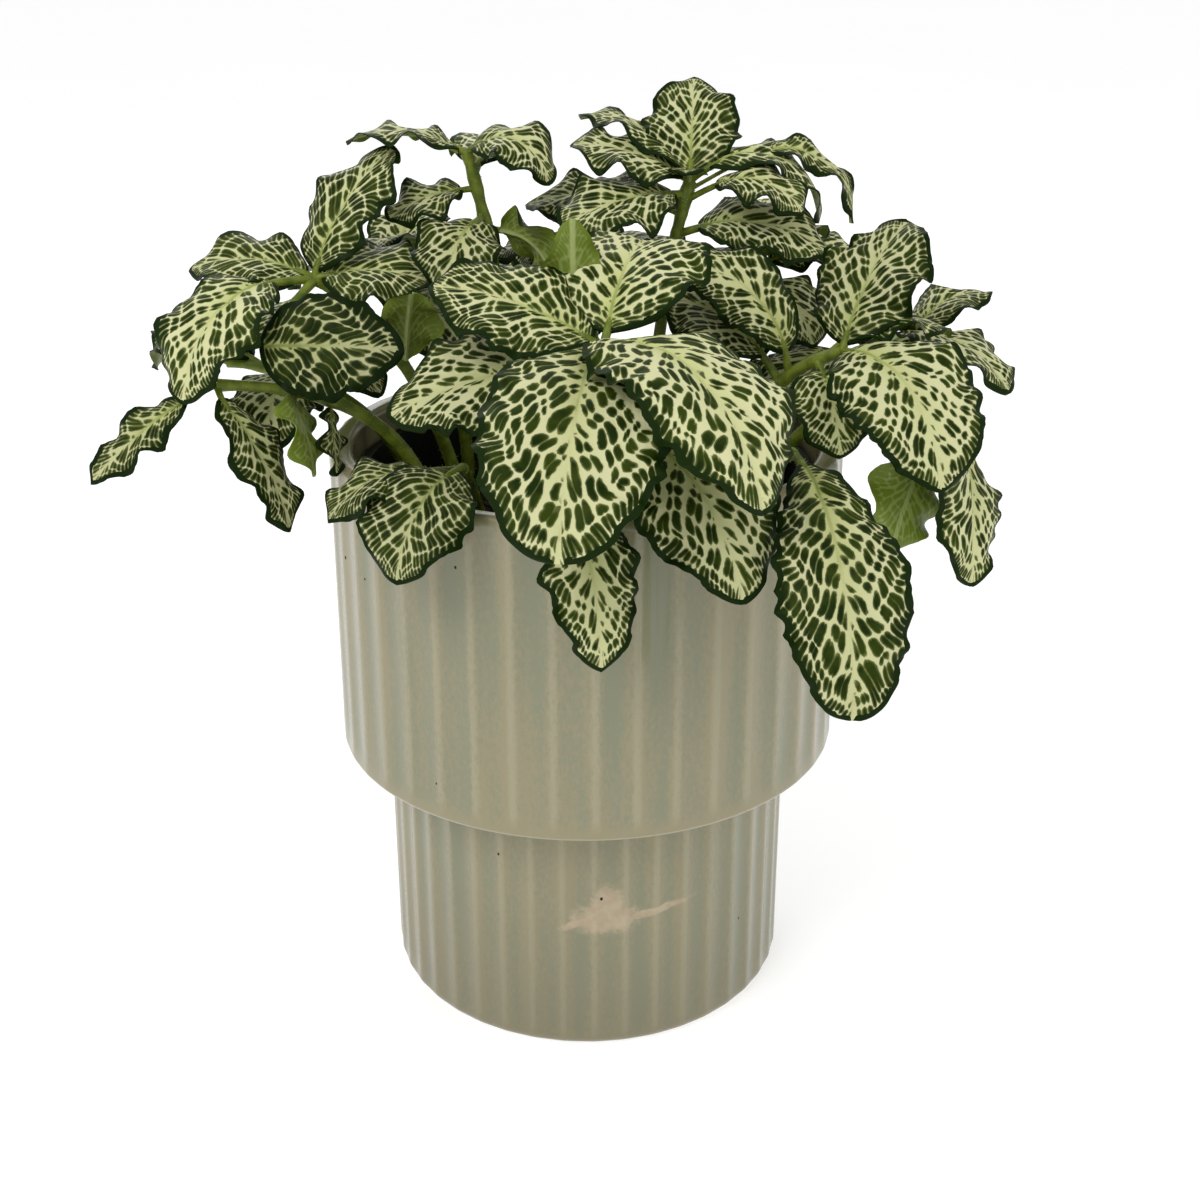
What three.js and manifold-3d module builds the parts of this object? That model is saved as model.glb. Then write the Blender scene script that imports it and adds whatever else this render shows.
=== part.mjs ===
// A potted nerve plant: a fluted, two-tier glazed ceramic cover pot, the black nursery pot
// that stands in it, the soil, and the leafy stems of a white-veined creeping houseplant.
// Millimetres, +Z up, origin at the middle of the pot's underside, the pot's front towards -Y.

import * as THREE from 'three';
import { mergeVertices } from 'three/addons/utils/BufferGeometryUtils.js';
import Module from 'manifold-3d';

const wasm = await Module();
wasm.setup();

// ---------------------------------------------------------------- driving dimensions

const CLEARANCE = 0.3;        // gap kept where two pieces rest on each other

const POT_HEIGHT = 160;
const STEP_HEIGHT = 74;       // underside of the wide upper tier
const UPPER_RADIUS = 70;      // at the upper tier's lower edge
const RIM_RADIUS = 69;
const LOWER_RADIUS = 57.5;
const POT_WALL = 6.5;
const FLOOR_HEIGHT = 9;
const FLUTES = 42;            // on each tier
const FLUTE_DEPTH = 0.7;
const FLUTE_TURN = -2.6;      // degrees, which puts a ridge a little to the right of the front
const POT_COLUMNS = 2 * FLUTES;
const LOWER_INSIDE = LOWER_RADIUS - POT_WALL;

const NURSERY_TOP = 152;
const NURSERY_BOTTOM = 44;
const NURSERY_WALL = 1.4;
const NURSERY_RADIUS = 60.5;  // at its top, inside the lip
const NURSERY_LIP = 6;
const NURSERY_COLUMNS = 36;
const LEDGE_HEIGHT = 82;      // inside, where the wide tier steps in to the narrow one
const SOIL_TOP = 140;
const SOIL_GRAIN = 1.2;       // height of the lumps of the soil

const STEM_RADIUS = 1.9;
const STEM_DEPTH = 16;        // how deep a stem stands in its hole
const STEM_SIDES = 5;
const STEM_STEPS = 5;
const STEM_TAPER = 0.3;       // share of its radius that a stem loses by its tip
const PETIOLE_RADIUS = 1.2;

const BLADE_THICKNESS = 0.7;
const ROW_LENGTH = 8;         // of blade to one row of faces, with at least five rows
const BLADE_COLUMNS = 4;      // across a blade, or half as many on a narrow one
const NARROW_BLADE = 26;
const ROW_CROWDING = 0.09;    // how far the rows draw towards the blade's two ends
const MIDRIB_STEPS = 120;     // steps in which a midrib's curve is summed
const DROOP_ONSET = 1.15;     // above 1, a blade turns down later along its length
const ROUNDNESS = 0.62;       // exponent of the outline, fuller when it is smaller
const CUP_RISE = 0.25;        // how steeply each half climbs from the midrib
const CUP_FALL = 0.3;         // and how much it turns down again towards the margin
const WAVES = 2.3;            // waves along each margin
const WAVE_OFFSET = 1.9;      // phase of the right margin after the left one, in radians
const LEAF_OFFSET = 2.4;      // phase of each leaf of a stem after the one before

// ---------------------------------------------------------------- the plant

// A blade's heading is its compass direction in plan, 0 to the right, 90 to the back and 270
// to the front. It leaves its stalk at the angle rise above the level and has turned down by
// droop at its tip. Angles are in degrees and lengths in millimetres.
function blade(heading, rise, droop, length, width, more = {}) {
  return {
    heading, rise, droop, length, width,
    at: 1,                    // place on the stem, from 0 at the soil to 1 at the top
    petiole: 3,               // length of the stalk
    petioleHeading: heading,
    petioleRise: rise + 10,
    roll: 0,                  // bank about the midrib, positive with the right half up
    twist: 0,                 // further bank, reached at the tip
    bend: 0,                  // sideways turn of the midrib
    widest: 0.47,             // where along the blade it is widest
    wave: 2,                  // height of the waves of the margin
    ...more,
  };
}

// Root is where the stem stands in the soil and top is its tip. Bow says how far it leans
// out before it rises, and lift how much of its height it has gained by then.
const SHOOTS = [
  {
    name: 'shoot_front', root: [6, -28], top: [4, -46, 195], bow: 0.35, lift: 0.7,
    blades: [
      blade(166, 28, 28, 42, 30, { roll: 28 }),
      blade(72, 52, 75, 46, 40, { petiole: 4, petioleHeading: 60 }),
      blade(305, 18, 92, 69, 44, { roll: 5 }),
      blade(261, 8, 74, 73, 42, { roll: 5, widest: 0.56 }),
      blade(190, 5, 35, 49, 34, { roll: 28, petiole: 5, at: 0.8 }),
      blade(304, 2, 76, 58, 35, { roll: -16, petiole: 14, petioleHeading: 290, at: 0.5 }),
      blade(288, -30, 60, 44, 22, { petiole: 33, petioleHeading: 254, petioleRise: -4, at: 0.42 }),
      blade(275, 82, -10, 30, 15, { petiole: 16, petioleHeading: 118, petioleRise: 5, at: 0.9 }),
    ],
  },
  {
    name: 'shoot_front_right', root: [40, -30], top: [50, -46, 169], bow: 0.35, lift: 0.8,
    blades: [
      blade(279, -6, 80, 71, 30, { roll: -6, petiole: 8, widest: 0.58 }),
    ],
  },
  {
    name: 'shoot_right', root: [36, 2], top: [66, -12, 185], bow: 0.2, lift: 0.8,
    blades: [
      blade(50, 64, 45, 41, 31, { petiole: 2 }),
      blade(295, 13, 92, 56, 35, { roll: -15, petiole: 2 }),
      blade(162, 72, 85, 42, 21, { roll: 45, petiole: 6, at: 0.7 }),
      blade(148, 45, 55, 34, 28, { roll: 20, petiole: 8, at: 0.64 }),
      blade(278, -14, 60, 28, 22, { petiole: 6, at: 0.86 }),
      blade(12, 35, 80, 32, 22, { petiole: 6, at: 0.92 }),
    ],
  },
  {
    name: 'shoot_far_right', root: [46, -12], top: [93, -24, 177], bow: 0.1, lift: 1,
    blades: [
      blade(280, -45, 45, 48, 26, { roll: 70, twist: -60, petiole: 2 }),
      blade(235, -45, 20, 26, 22, { roll: 60, petiole: 16, petioleRise: -60, at: 0.96 }),
    ],
  },
  {
    name: 'shoot_top', root: [16, 12], top: [28, 22, 223], bow: 0.35, lift: 0.7,
    blades: [
      blade(178, 30, 35, 32, 26, { roll: 16, petiole: 2 }),
      blade(85, 66, 35, 30, 26, { petiole: 2, widest: 0.43 }),
      blade(212, 4, 30, 36, 28, { roll: 18, petiole: 4, at: 0.93 }),
      blade(5, 28, 120, 42, 20, { roll: -12, petiole: 6 }),
      blade(14, 10, 100, 40, 12, { roll: -28, petiole: 22, petioleRise: 26, at: 0.95 }),
      blade(260, 40, 60, 12, 10, { petiole: 1, wave: 0.4 }),
      blade(160, 10, 30, 40, 26, { roll: 20, petiole: 6, at: 0.85 }),
      blade(352, 14, 55, 38, 26, { roll: -25, petiole: 6, at: 0.76 }),
      blade(145, 46, 60, 38, 16, { petiole: 3 }),
      blade(335, 22, 80, 28, 18, { roll: -20, petiole: 10, at: 0.9 }),
    ],
  },
  {
    name: 'shoot_top_left', root: [-18, 14], top: [-31, 16, 231], bow: 0.35, lift: 0.7,
    blades: [
      blade(340, 35, 125, 28, 20, { roll: -20, petiole: 2 }),
      blade(178, 26, 50, 31, 18, { petiole: 2 }),
      blade(200, -5, 30, 22, 18, { roll: 20, petiole: 4, at: 0.85 }),
      blade(252, -5, 60, 28, 24, { roll: 10, petiole: 6, at: 0.74 }),
      blade(320, 0, 80, 26, 20, { roll: 60, petiole: 6, at: 0.7 }),
      blade(75, 30, 80, 34, 24, { petiole: 4, at: 0.9 }),
    ],
  },
  {
    name: 'shoot_left', root: [-34, 2], top: [-70, -2, 202], bow: 0.3, lift: 0.75,
    blades: [
      blade(40, 66, 42, 40, 25, { roll: -10, petiole: 2 }),
      blade(178, 25, 52, 32, 24, { roll: 25, petiole: 2 }),
      blade(354, 14, 36, 30, 26, { roll: -25, petiole: 2 }),
      blade(352, 4, 8, 37, 27, {
        roll: -62, petiole: 28, petioleHeading: 244, petioleRise: -25, wave: 0.8, widest: 0.43,
      }),
      blade(232, 0, 85, 44, 28, { roll: 10, petiole: 12, petioleHeading: 215, petioleRise: 5 }),
      blade(290, 66, 10, 22, 18, { petiole: 8, petioleRise: 10, at: 0.54 }),
    ],
  },
  {
    name: 'shoot_far_left', root: [-40, -16], top: [-92, -27, 181], bow: 0.1, lift: 0.95,
    blades: [
      blade(201, -29, 18, 32, 12, { roll: 40, petiole: 8 }),
      blade(334, -45, 35, 38, 18, { petiole: 4, petioleHeading: 290 }),
      blade(300, -40, 35, 22, 18, { roll: 50, petiole: 2, at: 0.8 }),
      blade(280, -50, 30, 18, 10, { roll: 60, petiole: 2, at: 0.66 }),
    ],
  },
  {
    name: 'shoot_front_left', root: [-26, -34], top: [-30, -48, 166], bow: 0.35, lift: 0.7,
    blades: [
      blade(198, 4, 66, 26, 19, { roll: 10, petiole: 11, petioleRise: 5 }),
      blade(242, 0, 80, 36, 27, { roll: 10, petiole: 3 }),
    ],
  },
  {
    name: 'shoot_middle', root: [4, 26], top: [0, 36, 196], bow: 0.3, lift: 0.7,
    blades: [
      blade(22, 34, 60, 30, 24, { petiole: 3, roll: 6 }),
      blade(112, 22, 60, 34, 26, { petiole: 3, roll: 6 }),
      blade(202, 34, 60, 30, 24, { petiole: 3, roll: -6 }),
      blade(292, 22, 60, 34, 26, { petiole: 3, roll: -6 }),
    ],
  },
];

// The stems of the far side, whose blades stand in crossed pairs by one rule.
const FAR_SHOOTS = [
  { name: 'shoot_back_left', root: [-34, 26], top: [-54, 48, 194], turn: 96 },
  { name: 'shoot_back', root: [-2, 38], top: [-6, 78, 184], turn: 84 },
  { name: 'shoot_back_right', root: [28, 36], top: [56, 60, 194], turn: 108 },
  { name: 'shoot_side_right', root: [46, 16], top: [92, 30, 178], turn: 40 },
  { name: 'shoot_side_left', root: [-48, 8], top: [-98, 14, 176], turn: 75 },
];

const PAIRS = [
  { at: 1, rise: 48, droop: 70, length: 32, width: 23, petiole: 2 },
  { at: 0.88, rise: 24, droop: 75, length: 38, width: 26, petiole: 4 },
  { at: 0.76, rise: 10, droop: 70, length: 34, width: 24, petiole: 6 },
];

// Minimal standard generator, so that every draw is the same on each run.
function seededDraw(seed) {
  let state = seed;
  return () => {
    state = (state * 48271) % 2147483647;
    return state / 2147483647;
  };
}

function farShoot({ name, root, top, turn }, index) {
  const draw = seededDraw(101 + 37 * index);
  const blades = [];
  PAIRS.forEach((pair, level) => {
    for (const side of [0, 180]) {
      const heading = turn + 90 * level + side + 24 * (draw() - 0.5);
      const size = 0.9 + 0.25 * draw();
      const roll = 24 * (draw() - 0.5);
      blades.push(blade(heading, pair.rise, pair.droop, pair.length * size, pair.width * size,
        { roll, petiole: pair.petiole, at: pair.at }));
    }
  });
  return { name, root, top, bow: 0.15, lift: 0.9, blades };
}

// ---------------------------------------------------------------- geometry helpers

const radians = THREE.MathUtils.degToRad;

// Unit vector along a compass heading and an angle above the level.
function direction(heading, rise) {
  const plan = radians(heading);
  const up = radians(rise);
  return new THREE.Vector3(
    Math.cos(up) * Math.cos(plan), Math.cos(up) * Math.sin(plan), Math.sin(up));
}

function solidFrom(points, triangles) {
  const vertProperties = new Float32Array(points.flatMap((p) => [p.x, p.y, p.z]));
  return new wasm.Manifold(new wasm.Mesh({
    numProp: 3, vertProperties, triVerts: new Uint32Array(triangles),
  }));
}

// Triangles of the side wall between two closed rings of `count` points.
function ringWall(lower, upper, count) {
  const triangles = [];
  for (let i = 0; i < count; i += 1) {
    const next = (i + 1) % count;
    triangles.push(lower + i, lower + next, upper + next);
    triangles.push(lower + i, upper + next, upper + i);
  }
  return triangles;
}

// A closed three.js geometry as a solid, with its doubled vertices merged.
function solidFromGeometry(geometry) {
  geometry.deleteAttribute('normal');
  geometry.deleteAttribute('uv');
  const merged = mergeVertices(geometry);
  const corners = merged.index.array;
  const triangles = [];
  for (let i = 0; i < corners.length; i += 3) {
    const [a, b, c] = corners.slice(i, i + 3);
    if (a !== b && b !== c && c !== a) {
      triangles.push(a, b, c);
    }
  }
  return new wasm.Manifold(new wasm.Mesh({
    numProp: 3,
    vertProperties: merged.attributes.position.array,
    triVerts: new Uint32Array(triangles),
  }));
}

// A turned solid. Its outline of [radius, height] runs from the lowest point of the axis to
// the highest one, outside in, and shape may then move any point of it.
function turnedSolid(outline, columns, shape = () => {}) {
  const profile = outline.map(([radius, height]) => new THREE.Vector2(radius, height));
  const geometry = new THREE.LatheGeometry(profile, columns).rotateX(Math.PI / 2);
  const places = geometry.attributes.position;
  const point = new THREE.Vector3();
  for (let i = 0; i < places.count; i += 1) {
    point.fromBufferAttribute(places, i);
    shape(point, i % outline.length);
    places.setXYZ(i, point.x, point.y, point.z);
  }
  return solidFromGeometry(geometry);
}

// How far round from a ridge to the bottom of a flute an angle lies, from 0 to 1.
function fluteHollow(angle) {
  return Math.abs(Math.sin((FLUTES * angle) / 2));
}

// A closed tube through the given points, whose radius follows them.
function tube(points, radii, sides) {
  const last = points.length - 1;
  const ring = [];
  const across = new THREE.Vector3();
  const up = new THREE.Vector3();
  points.forEach((point, k) => {
    const along = points[Math.min(k + 1, last)].clone()
      .sub(points[Math.max(k - 1, 0)]).normalize();
    const guide = k === 0 ? sideways(along) : across.clone();
    up.crossVectors(along, guide).normalize();
    across.crossVectors(up, along).normalize();
    for (let i = 0; i < sides; i += 1) {
      const angle = (i / sides) * 2 * Math.PI;
      ring.push(point.clone()
        .addScaledVector(across, radii[k] * Math.cos(angle))
        .addScaledVector(up, radii[k] * Math.sin(angle)));
    }
  });
  const first = ring.length;
  const triangles = [];
  for (let k = 0; k < last; k += 1) {
    triangles.push(...ringWall(k * sides, (k + 1) * sides, sides));
  }
  for (let i = 0; i < sides; i += 1) {
    const next = (i + 1) % sides;
    triangles.push(first, next, i);
    triangles.push(first + 1, last * sides + i, last * sides + next);
  }
  return solidFrom([...ring, points[0].clone(), points[last].clone()], triangles);
}

// Any direction square to the given one.
function sideways(along) {
  const level = Math.abs(along.z) > 0.9 ? new THREE.Vector3(1, 0, 0) : new THREE.Vector3(0, 0, 1);
  return level.cross(along).normalize();
}

function meshFrom(solid, name, material) {
  const { vertProperties, triVerts } = solid.getMesh();
  const geometry = new THREE.BufferGeometry();
  geometry.setAttribute('position', new THREE.BufferAttribute(new Float32Array(vertProperties), 3));
  geometry.setIndex(new THREE.BufferAttribute(new Uint32Array(triVerts), 1));
  geometry.computeVertexNormals();
  const mesh = new THREE.Mesh(geometry, material);
  mesh.name = name;
  return mesh;
}

// ---------------------------------------------------------------- pots and soil

// Both tiers are fluted by one rule, and the flutes run out towards the foot, the step and the
// rim. Each row of the outline is [radius, height, flute depth].
function coverPot() {
  const inside = RIM_RADIUS - POT_WALL;
  const outline = [
    [0, 0, 0],
    [LOWER_RADIUS - 3.5, 0, 0],
    [LOWER_RADIUS - 0.8, 1.8, FLUTE_DEPTH * 0.3],
    [LOWER_RADIUS, 7, FLUTE_DEPTH],
    [LOWER_RADIUS - 0.5, STEP_HEIGHT, FLUTE_DEPTH],
    [UPPER_RADIUS - 1.6, STEP_HEIGHT, 0],
    [UPPER_RADIUS, STEP_HEIGHT + 2.4, FLUTE_DEPTH * 0.3],
    [UPPER_RADIUS, STEP_HEIGHT + 9, FLUTE_DEPTH],
    [RIM_RADIUS, POT_HEIGHT - 3, FLUTE_DEPTH],
    [RIM_RADIUS - 1, POT_HEIGHT - 0.8, FLUTE_DEPTH * 0.3],
    [RIM_RADIUS - 3, POT_HEIGHT, 0],
    [inside, POT_HEIGHT - 1.8, 0],
    [inside, LEDGE_HEIGHT, 0],
    [LOWER_INSIDE, LEDGE_HEIGHT, 0],
    [LOWER_INSIDE, FLOOR_HEIGHT, 0],
    [0, FLOOR_HEIGHT, 0],
  ];
  return turnedSolid(outline, POT_COLUMNS, (point, row) => {
    const [radius, , depth] = outline[row];
    if (depth > 0) {
      const share = 1 - (depth * fluteHollow(Math.atan2(point.y, point.x))) / radius;
      point.x *= share;
      point.y *= share;
    }
  }).rotate([0, 0, FLUTE_TURN]);
}

// The nursery pot tapers so that it hangs in the ledge of the cover pot.
const NURSERY_AT_LEDGE = LOWER_INSIDE * Math.cos(Math.PI / POT_COLUMNS) - CLEARANCE;
const NURSERY_TAPER = (NURSERY_RADIUS - NURSERY_AT_LEDGE) / (NURSERY_TOP - LEDGE_HEIGHT);

function nurseryRadius(height) {
  return NURSERY_RADIUS - NURSERY_TAPER * (NURSERY_TOP - height);
}

function nurseryPot() {
  const floor = NURSERY_BOTTOM + NURSERY_WALL;
  const lipBottom = NURSERY_TOP - NURSERY_LIP;
  const lipRadius = NURSERY_RADIUS + 0.8;
  return turnedSolid([
    [0, NURSERY_BOTTOM],
    [nurseryRadius(NURSERY_BOTTOM), NURSERY_BOTTOM],
    [nurseryRadius(lipBottom), lipBottom],
    [lipRadius, lipBottom + 1],
    [lipRadius, NURSERY_TOP],
    [NURSERY_RADIUS - NURSERY_WALL, NURSERY_TOP],
    [nurseryRadius(floor) - NURSERY_WALL, floor],
    [0, floor],
  ], NURSERY_COLUMNS);
}

// Height of the lumpy top of the soil.
function soilHeight(x, y) {
  return SOIL_TOP + SOIL_GRAIN * (Math.sin(0.31 * x + 1.3) * Math.cos(0.27 * y)
    + 0.6 * Math.sin(0.52 * y - 0.35 * x));
}

function soilPlug() {
  const floor = NURSERY_BOTTOM + NURSERY_WALL + CLEARANCE;
  const wall = NURSERY_WALL + CLEARANCE + 0.1;
  const edge = SOIL_TOP - 3;
  const radius = nurseryRadius(edge) - wall;
  const outline = [
    [0, floor],
    [nurseryRadius(floor) - wall, floor],
    [radius, edge],
    [0.8 * radius, SOIL_TOP],
    [0.4 * radius, SOIL_TOP],
    [0, SOIL_TOP],
  ];
  return turnedSolid(outline, NURSERY_COLUMNS, (point, row) => {
    if (outline[row][1] === SOIL_TOP) {
      point.z = soilHeight(point.x, point.y);
    }
  });
}

// The plain hole that a stem stands in.
function stemHole([x, y]) {
  const radius = STEM_RADIUS + CLEARANCE + 0.2;
  const bottom = SOIL_TOP - STEM_DEPTH - CLEARANCE;
  return tube([new THREE.Vector3(x, y, bottom), new THREE.Vector3(x, y, SOIL_TOP + 10)],
    [radius, radius], 6);
}

// ---------------------------------------------------------------- stems and blades

// A point of a stem's curve, from 0 where it leaves the soil to 1 at its tip.
function stemPoint({ root, top, bow, lift }, t) {
  const start = new THREE.Vector3(root[0], root[1], SOIL_TOP);
  const end = new THREE.Vector3(...top);
  const middle = new THREE.Vector3(
    THREE.MathUtils.lerp(root[0], top[0], bow),
    THREE.MathUtils.lerp(root[1], top[1], bow),
    THREE.MathUtils.lerp(SOIL_TOP, top[2], lift));
  return new THREE.QuadraticBezierCurve3(start, middle, end).getPoint(t);
}

function stemSolid(shoot) {
  const points = [new THREE.Vector3(shoot.root[0], shoot.root[1], SOIL_TOP - STEM_DEPTH)];
  const radii = [STEM_RADIUS];
  for (let k = 0; k <= STEM_STEPS; k += 1) {
    const t = k / STEM_STEPS;
    points.push(stemPoint(shoot, t));
    radii.push(STEM_RADIUS * (1 - STEM_TAPER * t));
  }
  return tube(points, radii, STEM_SIDES);
}

// Half the blade's width at s, as a share of its greatest half width.
function bladeProfile(s, widest) {
  const skew = Math.log(0.5) / Math.log(widest);
  return Math.max(Math.sin(Math.PI * s ** skew), 0) ** ROUNDNESS;
}

// Points and frames along the midrib: each has the midrib's point, its direction, the
// blade's right-hand side and the upward normal.
function midribFrames(leaf, start) {
  const frames = [];
  const point = start.clone();
  for (let i = 0; i <= MIDRIB_STEPS; i += 1) {
    const s = i / MIDRIB_STEPS;
    const heading = leaf.heading + leaf.bend * s;
    const along = direction(heading, leaf.rise - leaf.droop * s ** DROOP_ONSET);
    const level = direction(heading - 90, 0);
    const square = new THREE.Vector3().crossVectors(level, along);
    const bank = radians(leaf.roll + leaf.twist * s);
    const side = level.clone().multiplyScalar(Math.cos(bank))
      .addScaledVector(square, Math.sin(bank));
    const normal = new THREE.Vector3().crossVectors(side, along);
    frames.push({ point: point.clone(), along, side, normal });
    point.addScaledVector(along, leaf.length / MIDRIB_STEPS);
  }
  return frames;
}

// A point of the blade's middle surface, s along it and t across it from -1 to 1.
function bladePoint(leaf, frames, phase, s, t) {
  const { point, side, normal } = frames[Math.round(s * MIDRIB_STEPS)];
  const half = (leaf.width / 2) * bladeProfile(s, leaf.widest);
  const out = Math.abs(t);
  const turn = 2 * Math.PI * WAVES * s + phase + (t > 0 ? WAVE_OFFSET : 0);
  const calmEnds = Math.min(1, 4 * s) * Math.min(1, 4 * (1 - s) + 0.3);
  const wave = leaf.wave * out * out * calmEnds * Math.sin(turn);
  const lift = half * (CUP_RISE * out - CUP_FALL * out * out) + wave;
  return point.clone().addScaledVector(side, half * t).addScaledVector(normal, lift);
}

// A frame that looks along the given direction, with its side as near as can be to the one given.
function frameAlong(along, side) {
  const level = side.clone().addScaledVector(along, -side.dot(along)).normalize();
  return { side: level, normal: new THREE.Vector3().crossVectors(level, along) };
}

// A blade and its stalk in one closed skin, from inside the stem to the blade's tip.
function leafSolid(shoot, leaf, index) {
  const joint = stemPoint(shoot, leaf.at);
  const stalkAlong = direction(leaf.petioleHeading, leaf.petioleRise);
  const start = joint.clone().addScaledVector(stalkAlong, leaf.petiole);
  const frames = midribFrames(leaf, start);
  const phase = LEAF_OFFSET * index;
  const points = [];
  const stalkRow = (point, along) => {
    const { side, normal } = frameAlong(along.clone().normalize(), frames[0].side);
    return acrossBlade((t, lift) => point.clone()
      .addScaledVector(side, PETIOLE_RADIUS * t)
      .addScaledVector(normal, lift * (1 + 2 * (1 - Math.abs(t)))));
  };
  const bladeRow = (s) => {
    const { normal } = frames[Math.round(s * MIDRIB_STEPS)];
    return acrossBlade((t, lift) => bladePoint(leaf, frames, phase, s, t)
      .addScaledVector(normal, lift));
  };
  const columns = leaf.width > NARROW_BLADE ? BLADE_COLUMNS : BLADE_COLUMNS / 2;
  const acrossBlade = (place) => {
    const first = points.length;
    for (const lift of [BLADE_THICKNESS / 2, -BLADE_THICKNESS / 2]) {
      for (let j = 0; j <= columns; j += 1) {
        points.push(place((2 * j) / columns - 1, lift));
      }
    }
    return first;
  };
  const rowCount = THREE.MathUtils.clamp(Math.round(leaf.length / ROW_LENGTH), 5, 8);
  const rows = [
    stalkRow(joint, stalkAlong),
    stalkRow(start, stalkAlong.clone().add(frames[0].along)),
  ];
  for (let k = 1; k < rowCount; k += 1) {
    const share = k / rowCount;
    rows.push(bladeRow(share - ROW_CROWDING * Math.sin(2 * Math.PI * share)));
  }
  const { point: tip, normal } = frames[MIDRIB_STEPS];
  points.push(tip.clone().addScaledVector(normal, BLADE_THICKNESS / 2));
  points.push(tip.clone().addScaledVector(normal, -BLADE_THICKNESS / 2));
  return solidFrom(points, bladeTriangles(rows, points.length - 2, columns));
}

// The skin over rows of upper and lower points, closed by a cap and by the two tip points.
function bladeTriangles(rows, tip, n) {
  const under = n + 1;
  const triangles = [];
  const quad = (a, b, c, d) => triangles.push(a, b, c, a, c, d);
  const first = rows[0];
  const last = rows[rows.length - 1];
  for (let j = 0; j < n; j += 1) {
    quad(first + j, first + under + j, first + under + j + 1, first + j + 1);
    triangles.push(last + j, last + j + 1, tip);
    triangles.push(last + under + j, tip + 1, last + under + j + 1);
  }
  for (let k = 0; k + 1 < rows.length; k += 1) {
    const [near, far] = [rows[k], rows[k + 1]];
    for (let j = 0; j < n; j += 1) {
      quad(near + j, near + j + 1, far + j + 1, far + j);
      quad(near + under + j, far + under + j, far + under + j + 1, near + under + j + 1);
    }
    quad(near, far, far + under, near + under);
    quad(near + n, near + under + n, far + under + n, far + n);
  }
  quad(last, tip, tip + 1, last + under);
  quad(last + n, last + under + n, tip + 1, tip);
  return triangles;
}

function shootSolid(shoot) {
  let solid = stemSolid(shoot);
  shoot.blades.forEach((leaf, index) => {
    solid = solid.add(leafSolid(shoot, leaf, index));
  });
  return largestBody(solid);
}

// Drops any loose scrap that a union leaves behind.
function largestBody(solid) {
  const bodies = solid.decompose();
  return bodies.reduce((best, body) => (body.volume() > best.volume() ? body : best));
}

// ---------------------------------------------------------------- assembly

const glaze = new THREE.MeshStandardMaterial({ color: 0xa3a08c, roughness: 0.22, metalness: 0 });
const blackPlastic = new THREE.MeshStandardMaterial({ color: 0x141412, roughness: 0.6, metalness: 0 });
const soilBrown = new THREE.MeshStandardMaterial({ color: 0x2a2018, roughness: 1, metalness: 0 });
const leafGreen = new THREE.MeshStandardMaterial({ color: 0x8d9a63, roughness: 0.5, metalness: 0 });

const shoots = [...SHOOTS, ...FAR_SHOOTS.map(farShoot)];

function soilWithHoles() {
  return shoots.reduce((soil, { root }) => soil.subtract(stemHole(root)), soilPlug());
}

const plant = new THREE.Group();
plant.add(meshFrom(coverPot(), 'cover_pot', glaze));
plant.add(meshFrom(nurseryPot(), 'nursery_pot', blackPlastic));
plant.add(meshFrom(soilWithHoles(), 'soil', soilBrown));
for (const shoot of shoots) {
  plant.add(meshFrom(shootSolid(shoot), shoot.name, leafGreen));
}

export default plant;
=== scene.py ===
"""A potted nerve plant: veined leaves on slender stems, in soil, in a fluted two-tier glazed pot.

The plant's stems and blades are set out as in the CAD part, in millimetres and degrees. Every
mesh is made in metres, in the CAD part's frame.
"""

import math
import random

import bpy
import numpy as np
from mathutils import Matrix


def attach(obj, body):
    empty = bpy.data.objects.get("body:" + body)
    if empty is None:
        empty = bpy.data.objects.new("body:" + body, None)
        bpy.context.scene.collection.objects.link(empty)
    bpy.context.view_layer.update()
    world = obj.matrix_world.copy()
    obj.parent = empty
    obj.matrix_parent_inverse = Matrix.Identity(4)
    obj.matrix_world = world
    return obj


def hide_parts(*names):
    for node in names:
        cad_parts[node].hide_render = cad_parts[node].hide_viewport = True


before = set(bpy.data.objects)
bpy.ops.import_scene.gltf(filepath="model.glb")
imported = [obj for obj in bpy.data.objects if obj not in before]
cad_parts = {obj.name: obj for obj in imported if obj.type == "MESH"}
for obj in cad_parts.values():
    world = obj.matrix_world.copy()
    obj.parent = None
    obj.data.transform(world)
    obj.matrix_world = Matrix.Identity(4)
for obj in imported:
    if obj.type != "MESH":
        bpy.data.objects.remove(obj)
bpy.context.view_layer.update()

MM = 0.001

# ---------------- sizes shared with the CAD part

POT_HEIGHT = 160
STEP_HEIGHT = 74
UPPER_RADIUS = 70
RIM_RADIUS = 69
LOWER_RADIUS = 57.5
POT_WALL = 6.5
FLOOR_HEIGHT = 9
FLUTES = 42
FLUTE_DEPTH = 0.7
FLUTE_TURN = -2.6
FLUTE_SOFTNESS = 0.24  # rounding of the ridges
CLEARANCE = 0.3

NURSERY_TOP = 152
NURSERY_BOTTOM = 44
NURSERY_WALL = 1.4
NURSERY_RADIUS = 60.5
NURSERY_LIP = 6
LEDGE_HEIGHT = 82
SOIL_TOP = 140

STEM_RADIUS = 1.9
STEM_DEPTH = 16
STEM_TAPER = 0.3
PETIOLE_RADIUS = 1.2

MIDRIB_STEPS = 120
DROOP_ONSET = 1.15
ROUNDNESS = 0.62
CUP_RISE = 0.25
CUP_FALL = 0.3
WAVES = 2.3
WAVE_OFFSET = 1.9
LEAF_OFFSET = 2.4


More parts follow.
